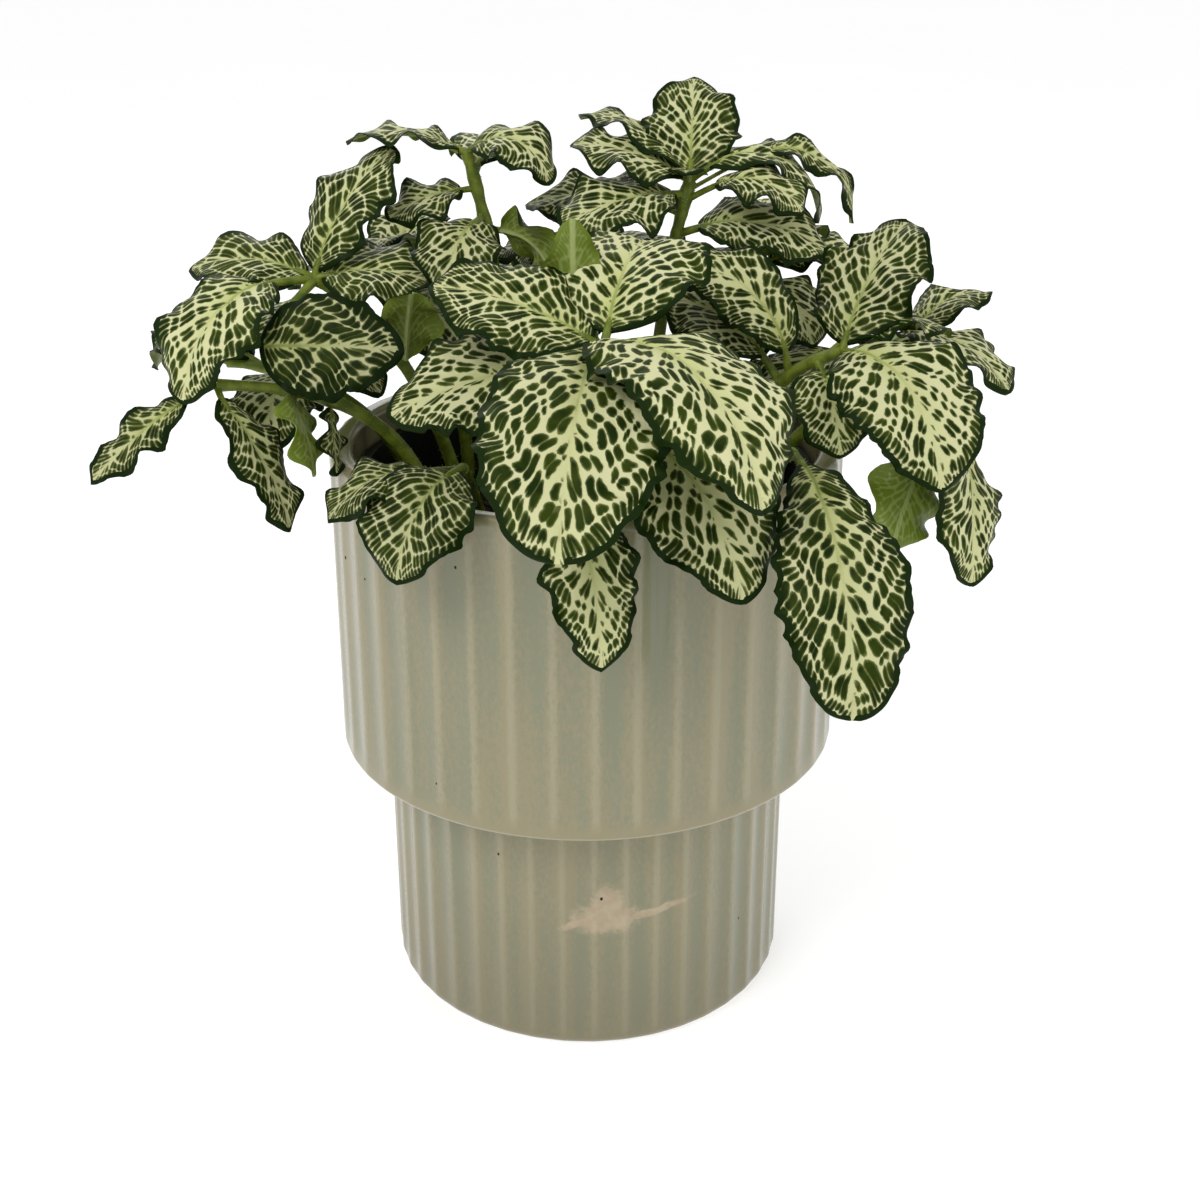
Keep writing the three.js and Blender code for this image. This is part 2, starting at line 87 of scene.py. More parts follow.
def blade(heading, rise, droop, length, width, **more):
    """One leaf: its compass heading, 0 right and 90 back, and how it rises and droops."""
    return {
        "heading": heading,
        "rise": rise,
        "droop": droop,
        "length": length,
        "width": width,
        "at": 1,
        "petiole": 3,
        "petioleHeading": heading,
        "petioleRise": rise + 10,
        "roll": 0,
        "twist": 0,
        "widest": 0.47,
        "wave": 2,
        "over": False,    # turned over, so that its underside faces up
        "blunt": 0,       # roundness of the tip
        "ruffle": 1,      # height of the fine ruffle of the margin
        "cells": 1,       # size of the dark cells between the veins
        "breadth": None,  # of the veins, drawn by lot unless it is given
        "tone": None,     # of the green, likewise
        **more,
    }


# A stem runs in a curve from its root in the soil to its top. Bow and lift place the point
# that bends it, as shares of the way across and of the way up.
SHOOTS = [
    dict(name="shoot_front", root=(6, -28), top=(4, -46, 195), bow=0.35, lift=0.7, blades=[
        blade(166, 28, 28, 42, 30, roll=28, breadth=0.9),
        blade(72, 52, 75, 46, 40, petiole=4, petioleHeading=60, breadth=1.25),
        blade(305, 18, 92, 69, 44, roll=5, breadth=1.3),
        blade(261, 8, 74, 73, 42, roll=5, widest=0.56, breadth=1.0, blunt=1),
        blade(190, 5, 35, 49, 34, roll=28, petiole=5, at=0.8, breadth=1.35),
        blade(304, 2, 76, 58, 35, roll=-16, petiole=14, petioleHeading=290, at=0.5, breadth=1.3),
        blade(288, -30, 60, 44, 22, petiole=33, petioleHeading=254, petioleRise=-4, at=0.42,
              breadth=1.5),
        blade(275, 82, -10, 30, 15, petiole=16, petioleHeading=118, petioleRise=5, at=0.9),
    ]),
    dict(name="shoot_front_right", root=(40, -30), top=(50, -46, 169), bow=0.35, lift=0.8, blades=[
        blade(279, -6, 80, 71, 30, roll=-6, petiole=8, widest=0.58, breadth=0.85, blunt=1),
    ]),
    dict(name="shoot_right", root=(36, 2), top=(66, -12, 185), bow=0.2, lift=0.8, blades=[
        blade(50, 64, 45, 41, 31, petiole=2, breadth=1.1, ruffle=2.2),
        blade(295, 13, 92, 56, 35, roll=-15, petiole=2, breadth=1.45),
        blade(162, 72, 85, 42, 21, roll=45, petiole=6, at=0.7),
        blade(148, 45, 55, 34, 28, roll=20, petiole=8, at=0.64),
        blade(278, -14, 60, 28, 22, petiole=6, at=0.86),
        blade(12, 35, 80, 32, 22, petiole=6, at=0.92),
    ]),
    dict(name="shoot_far_right", root=(46, -12), top=(93, -24, 177), bow=0.1, lift=1, blades=[
        blade(280, -45, 45, 48, 26, roll=70, twist=-60, petiole=2),
        blade(235, -45, 20, 26, 22, roll=60, petiole=16, petioleRise=-60, at=0.96, over=True),
    ]),
    dict(name="shoot_top", root=(16, 12), top=(28, 22, 223), bow=0.35, lift=0.7, blades=[
        blade(178, 30, 35, 32, 26, roll=16, petiole=2),
        blade(85, 66, 35, 30, 26, petiole=2, widest=0.43, breadth=1.1),
        blade(212, 4, 30, 36, 28, roll=18, petiole=4, at=0.93),
        blade(5, 28, 120, 42, 20, roll=-12, petiole=6),
        blade(14, 10, 100, 40, 12, roll=-28, petiole=22, petioleRise=26, at=0.95),
        blade(260, 40, 60, 12, 10, petiole=1, wave=0.4),
        blade(160, 10, 30, 40, 26, roll=20, petiole=6, at=0.85),
        blade(352, 14, 55, 38, 26, roll=-25, petiole=6, at=0.76),
        blade(145, 46, 60, 38, 16, petiole=3),
        blade(335, 22, 80, 28, 18, roll=-20, petiole=10, at=0.9),
    ]),
    dict(name="shoot_top_left", root=(-18, 14), top=(-31, 16, 231), bow=0.35, lift=0.7, blades=[
        blade(340, 35, 125, 28, 20, roll=-20, petiole=2),
        blade(178, 26, 50, 31, 18, petiole=2),
        blade(200, -5, 30, 22, 18, roll=20, petiole=4, at=0.85),
        blade(252, -5, 60, 28, 24, roll=10, petiole=6, at=0.74),
        blade(320, 0, 80, 26, 20, roll=60, petiole=6, at=0.7),
        blade(75, 30, 80, 34, 24, petiole=4, at=0.9),
    ]),
    dict(name="shoot_left", root=(-34, 2), top=(-70, -2, 202), bow=0.3, lift=0.75, blades=[
        blade(40, 66, 42, 40, 25, roll=-10, petiole=2, breadth=0.75, cells=1.05),
        blade(178, 25, 52, 32, 24, roll=25, petiole=2, breadth=0.75, cells=1.05),
        blade(354, 14, 36, 30, 26, roll=-25, petiole=2, breadth=0.75, cells=1.1),
        blade(352, 4, 8, 37, 27, roll=-62, petiole=28, petioleHeading=244, petioleRise=-25,
              wave=0.8, widest=0.43, breadth=0.6, tone=0.78, cells=1.7),
        blade(232, 0, 85, 44, 28, roll=10, petiole=12, petioleHeading=215, petioleRise=5),
        blade(290, 66, 10, 22, 18, petiole=8, petioleRise=10, at=0.54),
    ]),
    dict(name="shoot_far_left", root=(-40, -16), top=(-92, -27, 181), bow=0.1, lift=0.95, blades=[
        blade(201, -29, 18, 32, 12, roll=40, petiole=8),
        blade(334, -45, 35, 38, 18, petiole=4, petioleHeading=290),
        blade(300, -40, 35, 22, 18, roll=50, petiole=2, at=0.8, over=True),
        blade(280, -50, 30, 18, 10, roll=60, petiole=2, at=0.66),
    ]),
    dict(name="shoot_front_left", root=(-26, -34), top=(-30, -48, 166), bow=0.35, lift=0.7, blades=[
        blade(198, 4, 66, 26, 19, roll=10, petiole=11, petioleRise=5, breadth=0.7),
        blade(242, 0, 80, 36, 27, roll=10, petiole=3, breadth=0.7),
    ]),
    dict(name="shoot_middle", root=(4, 26), top=(0, 36, 196), bow=0.3, lift=0.7, blades=[
        blade(22, 34, 60, 30, 24, petiole=3, roll=6),
        blade(112, 22, 60, 34, 26, petiole=3, roll=6),
        blade(202, 34, 60, 30, 24, petiole=3, roll=-6),
        blade(292, 22, 60, 34, 26, petiole=3, roll=-6),
    ]),
]

FAR_SHOOTS = [
    dict(name="shoot_back_left", root=(-34, 26), top=(-54, 48, 194), turn=96),
    dict(name="shoot_back", root=(-2, 38), top=(-6, 78, 184), turn=84),
    dict(name="shoot_back_right", root=(28, 36), top=(56, 60, 194), turn=108),
    dict(name="shoot_side_right", root=(46, 16), top=(92, 30, 178), turn=40),
    dict(name="shoot_side_left", root=(-48, 8), top=(-98, 14, 176), turn=75),
]

FAR_SEED = 101
FAR_SEED_STEP = 37
FAR_TURN = 24         # degrees over which a leaf's heading and roll are drawn
SEED_FACTOR = 48271
SEED_MODULUS = 2147483647

PAIRS = [
    dict(at=1, rise=48, droop=70, length=32, width=23, petiole=2),
    dict(at=0.88, rise=24, droop=75, length=38, width=26, petiole=4),
    dict(at=0.76, rise=10, droop=70, length=34, width=24, petiole=6),
]


def seeded_draw(seed):
    """Draws from 0 to 1, the same ones that set out the solid leaves of the far side."""
    state = seed
    while True:
        state = state * SEED_FACTOR % SEED_MODULUS
        yield state / SEED_MODULUS


def far_shoot(shoot, index):
    """A stem of the far side, with crossed pairs of leaves."""
    draw = seeded_draw(FAR_SEED + FAR_SEED_STEP * index)
    blades = []
    for level, pair in enumerate(PAIRS):
        for side in (0, 180):
            heading = shoot["turn"] + 90 * level + side + FAR_TURN * (next(draw) - 0.5)
            size = 0.9 + 0.25 * next(draw)
            roll = FAR_TURN * (next(draw) - 0.5)
            blades.append(blade(heading, pair["rise"], pair["droop"], pair["length"] * size,
                                pair["width"] * size, roll=roll, petiole=pair["petiole"],
                                at=pair["at"]))
    return dict(shoot, bow=0.15, lift=0.9, blades=blades)


# ---------------- meshes


def mesh_object(name, points, faces, materials, slots=None):
    """A smooth mesh object from points in millimetres."""
    mesh = bpy.data.meshes.new(name)
    mesh.from_pydata((np.asarray(points) * MM).tolist(), [], faces)
    for material in materials:
        mesh.materials.append(material)
    if slots is not None:
        mesh.polygons.foreach_set("material_index", slots)
    mesh.shade_smooth()
    obj = bpy.data.objects.new(name, mesh)
    bpy.context.scene.collection.objects.link(obj)
    return obj


def sharpen(obj, degrees):
    """Keeps edges sharper than an angle crisp in the smooth shading."""
    obj.data.set_sharp_from_angle(angle=math.radians(degrees))


def store(mesh, name, values):
    """Keeps a vector for each point of a mesh, for its material to read."""
    attribute = mesh.attributes.new(name, "FLOAT_VECTOR", "POINT")
    attribute.data.foreach_set("vector", np.asarray(values, np.float32).ravel())


def wear(obj, slot, *nodes):
    """Rides a piece on the part and hides the CAD nodes that it stands for. The slot is not used.
    """
    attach(obj, "root")
    if nodes:
        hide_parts(*nodes)


def angles_round(count):
    return np.arange(count) / count * 2 * math.pi


def circle(radius, height, turns):
    return np.stack([radius * np.cos(turns), radius * np.sin(turns), 0 * turns + height], -1)


def ring_faces(rings, count):
    """Faces between rings of points, each ring running round the same way."""
    faces = []
    for k in range(rings - 1):
        for i in range(count):
            j = (i + 1) % count
            faces.append((k * count + i, k * count + j, (k + 1) * count + j, (k + 1) * count + i))
    return faces


def capped_faces(rings, count):
    """Faces of a closed skin: those between its rings, and one across each end."""
    faces = ring_faces(rings, count)
    faces.append(tuple(range(count - 1, -1, -1)))
    faces.append(tuple((rings - 1) * count + i for i in range(count)))
    return faces


def unit(vectors):
    return vectors / np.linalg.norm(vectors, axis=-1, keepdims=True)


def bezier(points, t):
    """A cubic Bezier curve at the places t."""
    a, b, c, d = (np.asarray(p, float) for p in points)
    t = np.asarray(t)[:, None]
    return (1 - t) ** 3 * a + 3 * (1 - t) ** 2 * t * b + 3 * (1 - t) * t ** 2 * c + t ** 3 * d


def tube_parts(path, radii, sides):
    """Points, faces and outward directions of a tube with closed ends."""
    along = unit(np.gradient(path, axis=0))
    guide = np.array([1.0, 0, 0]) if abs(along[0][2]) > 0.9 else np.array([0, 0, 1.0])
    turns = angles_round(sides)
    rings = []
    outward = []
    for point, direct, radius in zip(path, along, radii):
        guide = guide - direct * (guide @ direct)
        guide = guide / np.linalg.norm(guide)
        other = np.cross(direct, guide)
        ring = np.cos(turns)[:, None] * guide + np.sin(turns)[:, None] * other
        rings.append(point + radius * ring)
        outward.append(ring)
    return np.concatenate(rings), capped_faces(len(path), sides), np.concatenate(outward)


class Gathered:
    """Several bits gathered into one mesh."""

    def __init__(self):
        self.points = []
        self.faces = []
        self.count = 0

    def add(self, points, faces):
        self.points.append(np.asarray(points, float))
        self.faces.extend(tuple(i + self.count for i in face) for face in faces)
        self.count += len(points)

    def build(self, name, materials):
        return mesh_object(name, np.concatenate(self.points), self.faces, materials)


# ---------------- material graphs


def arithmetic(kind, swap=False):
    """A method that joins a number and, if there is one, another by a sign."""

    def method(self, other=None):
        pair = (other, self) if swap else (self, other)
        return self.graph.math(kind, *(x for x in pair if x is not None))

    return method


class Number:
    """A number of a material's node graph, with the signs of arithmetic."""

    def __init__(self, graph, socket):
        self.graph = graph
        self.socket = socket

    __add__ = arithmetic("ADD")
    __radd__ = arithmetic("ADD", True)
    __sub__ = arithmetic("SUBTRACT")
    __rsub__ = arithmetic("SUBTRACT", True)
    __mul__ = arithmetic("MULTIPLY")
    __rmul__ = arithmetic("MULTIPLY", True)
    __truediv__ = arithmetic("DIVIDE")
    __rtruediv__ = arithmetic("DIVIDE", True)
    __pow__ = arithmetic("POWER")
    __abs__ = arithmetic("ABSOLUTE")
    smaller = arithmetic("MINIMUM")
    larger = arithmetic("MAXIMUM")
    above = arithmetic("GREATER_THAN")
    floor = arithmetic("FLOOR")

    def eased(self, low, high, start=0.0, end=1.0):
        """Rises smoothly from start to end as the number goes from low to high."""
        node = self.graph.node("ShaderNodeMapRange")
        node.interpolation_type = "SMOOTHSTEP"
        self.graph.plug_all((self, low, high, start, end), node)
        return Number(self.graph, node.outputs[0])


class Graph:
    """The node graph of one material, with its Principled shader."""

    def __init__(self, name, **settings):
        self.material = bpy.data.materials.new(name)
        self.material.use_nodes = True
        self.tree = self.material.node_tree
        self.shader = self.tree.nodes["Principled BSDF"]
        for label, value in settings.items():
            self.shader.inputs[label.replace("_", " ")].default_value = value

    def node(self, kind):
        return self.tree.nodes.new(kind)

    def plug(self, value, socket):
        """Links a node's output to a socket, or sets a plain value there."""
        if isinstance(value, Number):
            value = value.socket
        if isinstance(value, bpy.types.NodeSocket):
            self.tree.links.new(value, socket)
        else:
            socket.default_value = value

    def plug_all(self, values, node):
        for value, socket in zip(values, node.inputs):
            self.plug(value, socket)

    def math(self, kind, *values):
        node = self.node("ShaderNodeMath")
        node.operation = kind
        self.plug_all(values, node)
        return Number(self, node.outputs[0])

    def vector(self, x, y, z=0.0):
        node = self.node("ShaderNodeCombineXYZ")
        self.plug_all((x, y, z), node)
        return node.outputs[0]

    def parts(self, vector):
        node = self.node("ShaderNodeSeparateXYZ")
        self.plug(vector, node.inputs[0])
        return tuple(Number(self, socket) for socket in node.outputs)

    def stored(self, name):
        """The three numbers that the mesh keeps under a name."""
        node = self.node("ShaderNodeAttribute")
        node.attribute_name = name
        return self.parts(node.outputs["Vector"])

    def place(self):
        """The point in the object's own space, in metres."""
        return self.node("ShaderNodeTexCoord").outputs["Object"]

    def noise(self, vector, scale, detail=2.0, roughness=0.5):
        node = self.node("ShaderNodeTexNoise")
        self.plug(vector, node.inputs["Vector"])
        node.inputs["Scale"].default_value = scale
        node.inputs["Detail"].default_value = detail
        node.inputs["Roughness"].default_value = roughness
        return Number(self, node.outputs[0])

    def mix(self, share, first, second):
        """The colour between two, at a share from 0 to 1."""
        node = self.node("ShaderNodeMix")
        node.data_type = "RGBA"
        self.plug(share, node.inputs["Factor"])
        self.plug(first, node.inputs[6])
        self.plug(second, node.inputs[7])
        return node.outputs[2]

    def lot(self, x, y):
        """A number from 0 to 1 drawn by lot for each pair of numbers."""
        node = self.node("ShaderNodeTexWhiteNoise")
        node.noise_dimensions = "2D"
        self.plug(self.vector(x, y), node.inputs["Vector"])
        return Number(self, node.outputs["Value"])

    def bump(self, height, distance, strength=1.0):
        """Raises the surface by a height from 0 to 1 times a distance in metres."""
        node = self.node("ShaderNodeBump")
        node.inputs["Strength"].default_value = strength
        node.inputs["Distance"].default_value = distance
        self.plug(height, node.inputs["Height"])
        self.plug(node.outputs[0], self.shader.inputs["Normal"])

    def colour(self, socket):
        self.plug(socket, self.shader.inputs["Base Color"])


# ---------------- leaf materials

CREAM = (0.54, 0.54, 0.305, 1)
VEIN_YELLOW = (0.42, 0.455, 0.16, 1)
RIB_OLIVE = (0.20, 0.25, 0.05, 1)
CELL_DARK = (0.008, 0.018, 0.001, 1)
CELL_LIGHT = (0.026, 0.042, 0.003, 1)
MARGIN_GREEN = (0.007, 0.017, 0.002, 1)
UNDERSIDE_GREEN = (0.125, 0.175, 0.012, 1)
UNDERSIDE_VEIN = (0.30, 0.36, 0.12, 1)

ROW_LENGTH = 1.55     # of a cell, in widths of its row
CELL_ROUNDING = 0.18  # of its corners, likewise
VEIN_ROUNDING = 0.12  # and more for each mm of the veins' breadth
SOFT_EDGE = 0.11      # mm


def cell_rows(graph):
    """Dark cells in rows that run outward from the midrib, with cream veins between them.

    Each cell is a rounded box. Across a row, x runs from -0.5 to 0.5. The walls between rows
    are the stronger veins, which taper to spikes in the dark margin. Where a row grows wide, a
    thinner vein parts it in two, and near the margin each half again. A number added inside a
    lot or a noise only keeps it apart from the others."""
    across, run, cell = graph.stored("flow")
    along, v, edge = graph.stored("place")
    tone, breadth, stretch = graph.stored("kind")
    side = v.above(0.0)
    across = across + side * cell * 0.5
    run = run + side * 41.0

    sway_x = graph.noise(graph.vector(across, run), 0.13, 0.0) - 0.5
    sway_y = graph.noise(graph.vector(run, across, 7.0), 0.25, 0.0) - 0.5
    x = (across + sway_x * cell * 0.8) / cell
    row = x.floor()
    line = (x + 0.5).floor()
    x = x - row - 0.5
    width = cell / stretch
    jagged = (graph.noise(graph.vector(across, run, 9.0), 0.45, 2.0) - 0.5) * 1.8
    edge = edge / (0.4 + 0.18 * cell) + jagged * (edge * 0.7).smaller(1.0)

    crowded = (1.0 - edge * 0.2).larger(0.0) * 0.6
    grown = 1.0 / stretch + crowded
    halved = ((grown - 0.9 - 0.6 * graph.lot(row, side + 3.0)) * 2.2).larger(-3.0).smaller(1.0)
    half = x.above(0.0) + side * 2.0
    quartered = ((grown - 2.1 - 0.7 * graph.lot(row, half + 7.0)) * 2.2).larger(-3.0).smaller(1.0)

    row_lot = graph.lot(row, side)
    step = cell * ROW_LENGTH * (0.75 + 0.5 * row_lot)
    shift = halved.larger(0.0) * graph.lot(row, half + 17.0)
    lean = (graph.lot(row, side + 5.0) - 0.5) * x * 1.3
    y = run / step + row_lot * 7.3 + sway_y * 0.5 + lean + shift
    wall = y.floor()
    near = abs(y - wall - 0.5 * (graph.lot(row, wall) - 0.5))
    far = abs(y - wall - 1.0 - 0.5 * (graph.lot(row, wall + 1.0) - 0.5))
    down = near.smaller(far) * step

    line_lot = graph.lot(line, side + 9.0)
    outer = edge.eased(2.0, 9.0, 0.8, 1.0)
    uneven = graph.noise(graph.vector(across, run, 2.0), 0.5, 1.0).eased(0.3, 0.7, 0.75, 1.25)
    taper = ((edge - 1.4 - line_lot) / 3.4).larger(0.0).smaller(1.0)
    strong = breadth * (0.32 + 0.44 * line_lot * line_lot) * uneven * outer * taper
    finer = ((edge - 1.5 - 1.2 * graph.lot(row, half + 23.0)) / 3.4).larger(0.0).smaller(1.0)
    halving = breadth * halved * 0.30 * uneven * outer * finer
    quartering = breadth * quartered * 0.24 * outer * finer
    weak = breadth * (0.03 + 0.24 * graph.lot(row, wall + 31.0)) * outer
    weak = weak * edge.eased(2.3, 3.6, -1.5, 1.0)

    mid_half = breadth.smaller(1.15) * cell * 0.09 * (1.2 - along) * edge.eased(1.0, 5.0)
    gap_x = (0.5 - abs(x)) * width - strong
    gap_x = gap_x.smaller(abs(x) * width - halving)
    gap_x = gap_x.smaller(abs(abs(x) - 0.25) * width - quartering)
    gap_y = (down - weak).smaller(abs(v) - mid_half)
    rounding = cell * (CELL_ROUNDING + VEIN_ROUNDING * breadth)
    into_x = (rounding - gap_x).larger(0.0)
    into_y = (rounding - gap_y * 0.55).larger(0.0)
    rough = (graph.noise(graph.vector(across, run, 4.0), 1.2, 1.0) - 0.5) * 0.16
    inside = rounding - (into_x * into_x + into_y * into_y) ** 0.5 + rough
    inside = inside.larger(edge.eased(1.1, 1.7, 1.0, -9.0))
    return {
        "across": across, "run": run, "cell": cell, "inside": inside,
        "edge": edge, "along": along, "v": v, "tone": tone,
    }


def leaf_upper():
    """Cream net on dark green, with a dark margin that the veins spike into."""
    graph = Graph("leaf_upper", Roughness=0.45, Specular_IOR_Level=0.05)
    net = cell_rows(graph)
    veins = net["inside"].eased(-SOFT_EDGE, SOFT_EDGE, 1.0, 0.0)

    patchy = graph.noise(graph.vector(net["across"], net["run"]), 0.16, 2.0).eased(0.35, 0.65)
    green = graph.mix(patchy, CELL_DARK, CELL_LIGHT)
    green = graph.mix(net["edge"].eased(0.8, 2.6), MARGIN_GREEN, green)
    near_mid = (abs(net["v"]) / net["cell"]).eased(0.0, 2.0, 1.0, 0.0)
    young = near_mid * net["along"].eased(0.0, 0.9, 0.9, 0.25)
    pale = graph.mix(young, CREAM, VEIN_YELLOW)
    rib = (0.42 - abs(net["v"])).eased(-0.25, 0.25) * net["along"].eased(0.0, 0.7, 0.75, 0.0)
    pale = graph.mix(rib, pale, RIB_OLIVE)
    halo = net["inside"].eased(0.0, 0.45, 0.22, 0.0)
    shade = graph.mix(halo, green, VEIN_YELLOW)
    shade = graph.mix(veins, shade, pale)
    scaled = graph.node("ShaderNodeVectorMath")
    scaled.operation = "SCALE"
    graph.plug(shade, scaled.inputs[0])
    graph.plug(net["tone"], scaled.inputs["Scale"])
    graph.colour(scaled.outputs[0])
    graph.bump(net["inside"].eased(-0.5, 0.7), 0.00028, 0.8)
    return graph.material


def leaf_under():
    """Light olive, with the net showing faintly through."""
    graph = Graph("leaf_under", Roughness=0.5, Specular_IOR_Level=0.3)
    net = cell_rows(graph)
    veins = net["inside"].eased(-0.2, 0.3, 1.0, 0.0)
    rib = (0.8 - abs(net["v"])).eased(-0.2, 0.4)
    graph.colour(graph.mix((veins * 0.5).larger(rib), UNDERSIDE_GREEN, UNDERSIDE_VEIN))
    graph.bump(veins, 0.0002, 0.6)
    return graph.material


# ---------------- leaves


def direction(heading, rise):
    """The way that a compass heading and a rise point, in degrees."""
    plan, up = np.radians(heading), np.radians(rise)
    flat = np.cos(up)
    return np.stack([flat * np.cos(plan), flat * np.sin(plan), np.sin(up) + 0 * plan], -1)


def stem_point(shoot, t):
    """A point of a stem, from 0 where it leaves the soil to 1 at its tip."""
    root = np.array([*shoot["root"], SOIL_TOP], float)
    top = np.array(shoot["top"], float)
    middle = root + (top - root) * np.array([shoot["bow"], shoot["bow"], shoot["lift"]])
    t = np.asarray(t, float)[..., None]
    return (1 - t) ** 2 * root + 2 * t * (1 - t) * middle + t * t * top


def blade_profile(s, widest, blunt):
    """The share of its greatest width that a blade has at the places s."""
    skew = math.log(0.5) / math.log(widest)
    fullness = ROUNDNESS - 0.2 * blunt * s ** 4
    return np.clip(np.sin(math.pi * s ** skew), 0, None) ** fullness


def midrib_frames(leaf, start, s):
    """Point, direction, right-hand side and normal of the midrib at the places s."""
    fine = np.linspace(0, 1, MIDRIB_STEPS + 1)
    along = direction(leaf["heading"], leaf["rise"] - leaf["droop"] * fine ** DROOP_ONSET)
    level = direction(leaf["heading"] - 90, 0 * fine)
    square = np.cross(level, along)
    bank = np.radians(leaf["roll"] + leaf["twist"] * fine)[:, None]
    side = level * np.cos(bank) + square * np.sin(bank)
    step = leaf["length"] / MIDRIB_STEPS
    point = start + np.concatenate([np.zeros((1, 3)), np.cumsum(along[:-1] * step, axis=0)])

    def at_rows(values):
        return np.stack([np.interp(s, fine, values[:, k]) for k in range(3)], -1)

    along, side, point = at_rows(along), unit(at_rows(side)), at_rows(point)
    return point, along, side, np.cross(side, along)


def margin_shape(s, length, draw):
    """Outward lobes and teeth, and up-and-down ruffle, of one margin, in mm."""
    place = s * length

    def ripple(size, wave):
        return size * np.sin(2 * math.pi * place / wave + draw.uniform(0, 6.3))

    lobes = sum(ripple(draw.uniform(0.15, 0.42), draw.uniform(5.0, 12.0)) for _ in range(4))
    pitch, shift = draw.uniform(2.4, 3.4), draw.uniform(0, 1)
    teeth = 0.42 * np.abs(np.sin(math.pi * (place / pitch + shift + ripple(0.3, 13)))) ** 0.7
    ruffle = sum(ripple(draw.uniform(0.35, 0.8), wave * draw.uniform(0.85, 1.15))
                 for wave in (6.0, 9.0, 13.0))
    taper = np.clip(4 * s, 0, 1) * np.clip(6 * (1 - s), 0, 1)
    return (lobes + teeth - 0.25) * taper, ruffle * taper


VEIN_LEAN = 0.5      # how far along the leaf a vein moves for each mm out, at the base
VEIN_HASTE = 2.7     # and how much further by the tip
VEIN_OPENING = 0.8   # how much a vein turns outward by the margin


def flow_coordinates(x, w, half, length):
    """Which vein runs through a point and how far along it the point is, both in mm, and how
    close the veins run there, where they run 1 apart at the midrib."""
    out = w * (1 - VEIN_OPENING * (w / half) ** 3 / 4)
    open_up = 1 + VEIN_HASTE * out / length
    start = (x - VEIN_LEAN * out) / open_up
    lean = VEIN_LEAN + VEIN_HASTE * start / length
    steep = np.hypot(1, lean)
    scale = length / VEIN_HASTE
    run = np.hypot(w, lean * out) * (1 + 0.2 * (w / half) ** 2) + scale * steep
    turned_out = lean * (1 - VEIN_OPENING * (w / half) ** 3)
    return scale * np.arcsinh(lean), run, np.hypot(1, turned_out) / open_up / steep


def margin_distance(x, v, edge_x, edge_v):
    """Distance of each point from the margin, laid flat."""
    gap = np.hypot(x[..., None] - edge_x, v[..., None] - edge_v)
    return gap.min(-1)


ROW_PITCH = 0.75      # mm of a blade's length to one row of its mesh
COLUMN_PITCH = 2.3    # mm of its width to a column of each half
CROWDING = 0.86       # how far the columns draw towards the margins
SKIN = 0.5            # mm of thickness beside the midrib
SKIN_LOSS = 0.22      # and how much less by the margin
CELL_SIZE = 1.65      # mm of a dark cell
CELL_GROWTH = 0.034   # and more for each mm of the blade's length
VEIN_SIZE = 0.42      # mm of a vein
VEIN_GROWTH = 0.008   # likewise
VEIN_DEPTH = 0.45     # mm that the veins and the midrib lie sunk above
RIB_HEIGHT = 0.75     # mm that the midrib stands out below


def skin_faces(rows, columns):
    """Faces of a blade's closed skin, and their slots: 0 for its upper side, 1 for its under."""
    count = 2 * (columns + 1)
    faces = ring_faces(rows + 1, count)
    slots = np.tile([0] * (columns + 1) + [1] * columns + [0], rows).tolist()
    for row, flip in ((0, False), (rows, True)):
        for j in range(columns):
            a, b = row * count + j, row * count + j + 1
            c, d = row * count + count - 2 - j, row * count + count - 1 - j
            faces.append((a, b, c, d) if flip else (d, c, b, a))
            slots.append(0)
    return faces, slots


def sunken_veins(vein, w, s, edge, spacing):
    """How far the skin between the veins stands above them, in mm."""
    apart = np.abs((vein / spacing + 0.5) % 1 - 0.5) * spacing
    calm_edge = np.clip(edge / 4, 0, 1)
    relief = VEIN_DEPTH * (1 - np.exp(-(apart / 1.6) ** 2)) * calm_edge * spacing / 10
    return relief - VEIN_DEPTH * np.exp(-w ** 2) * (1.1 - s[:, None])


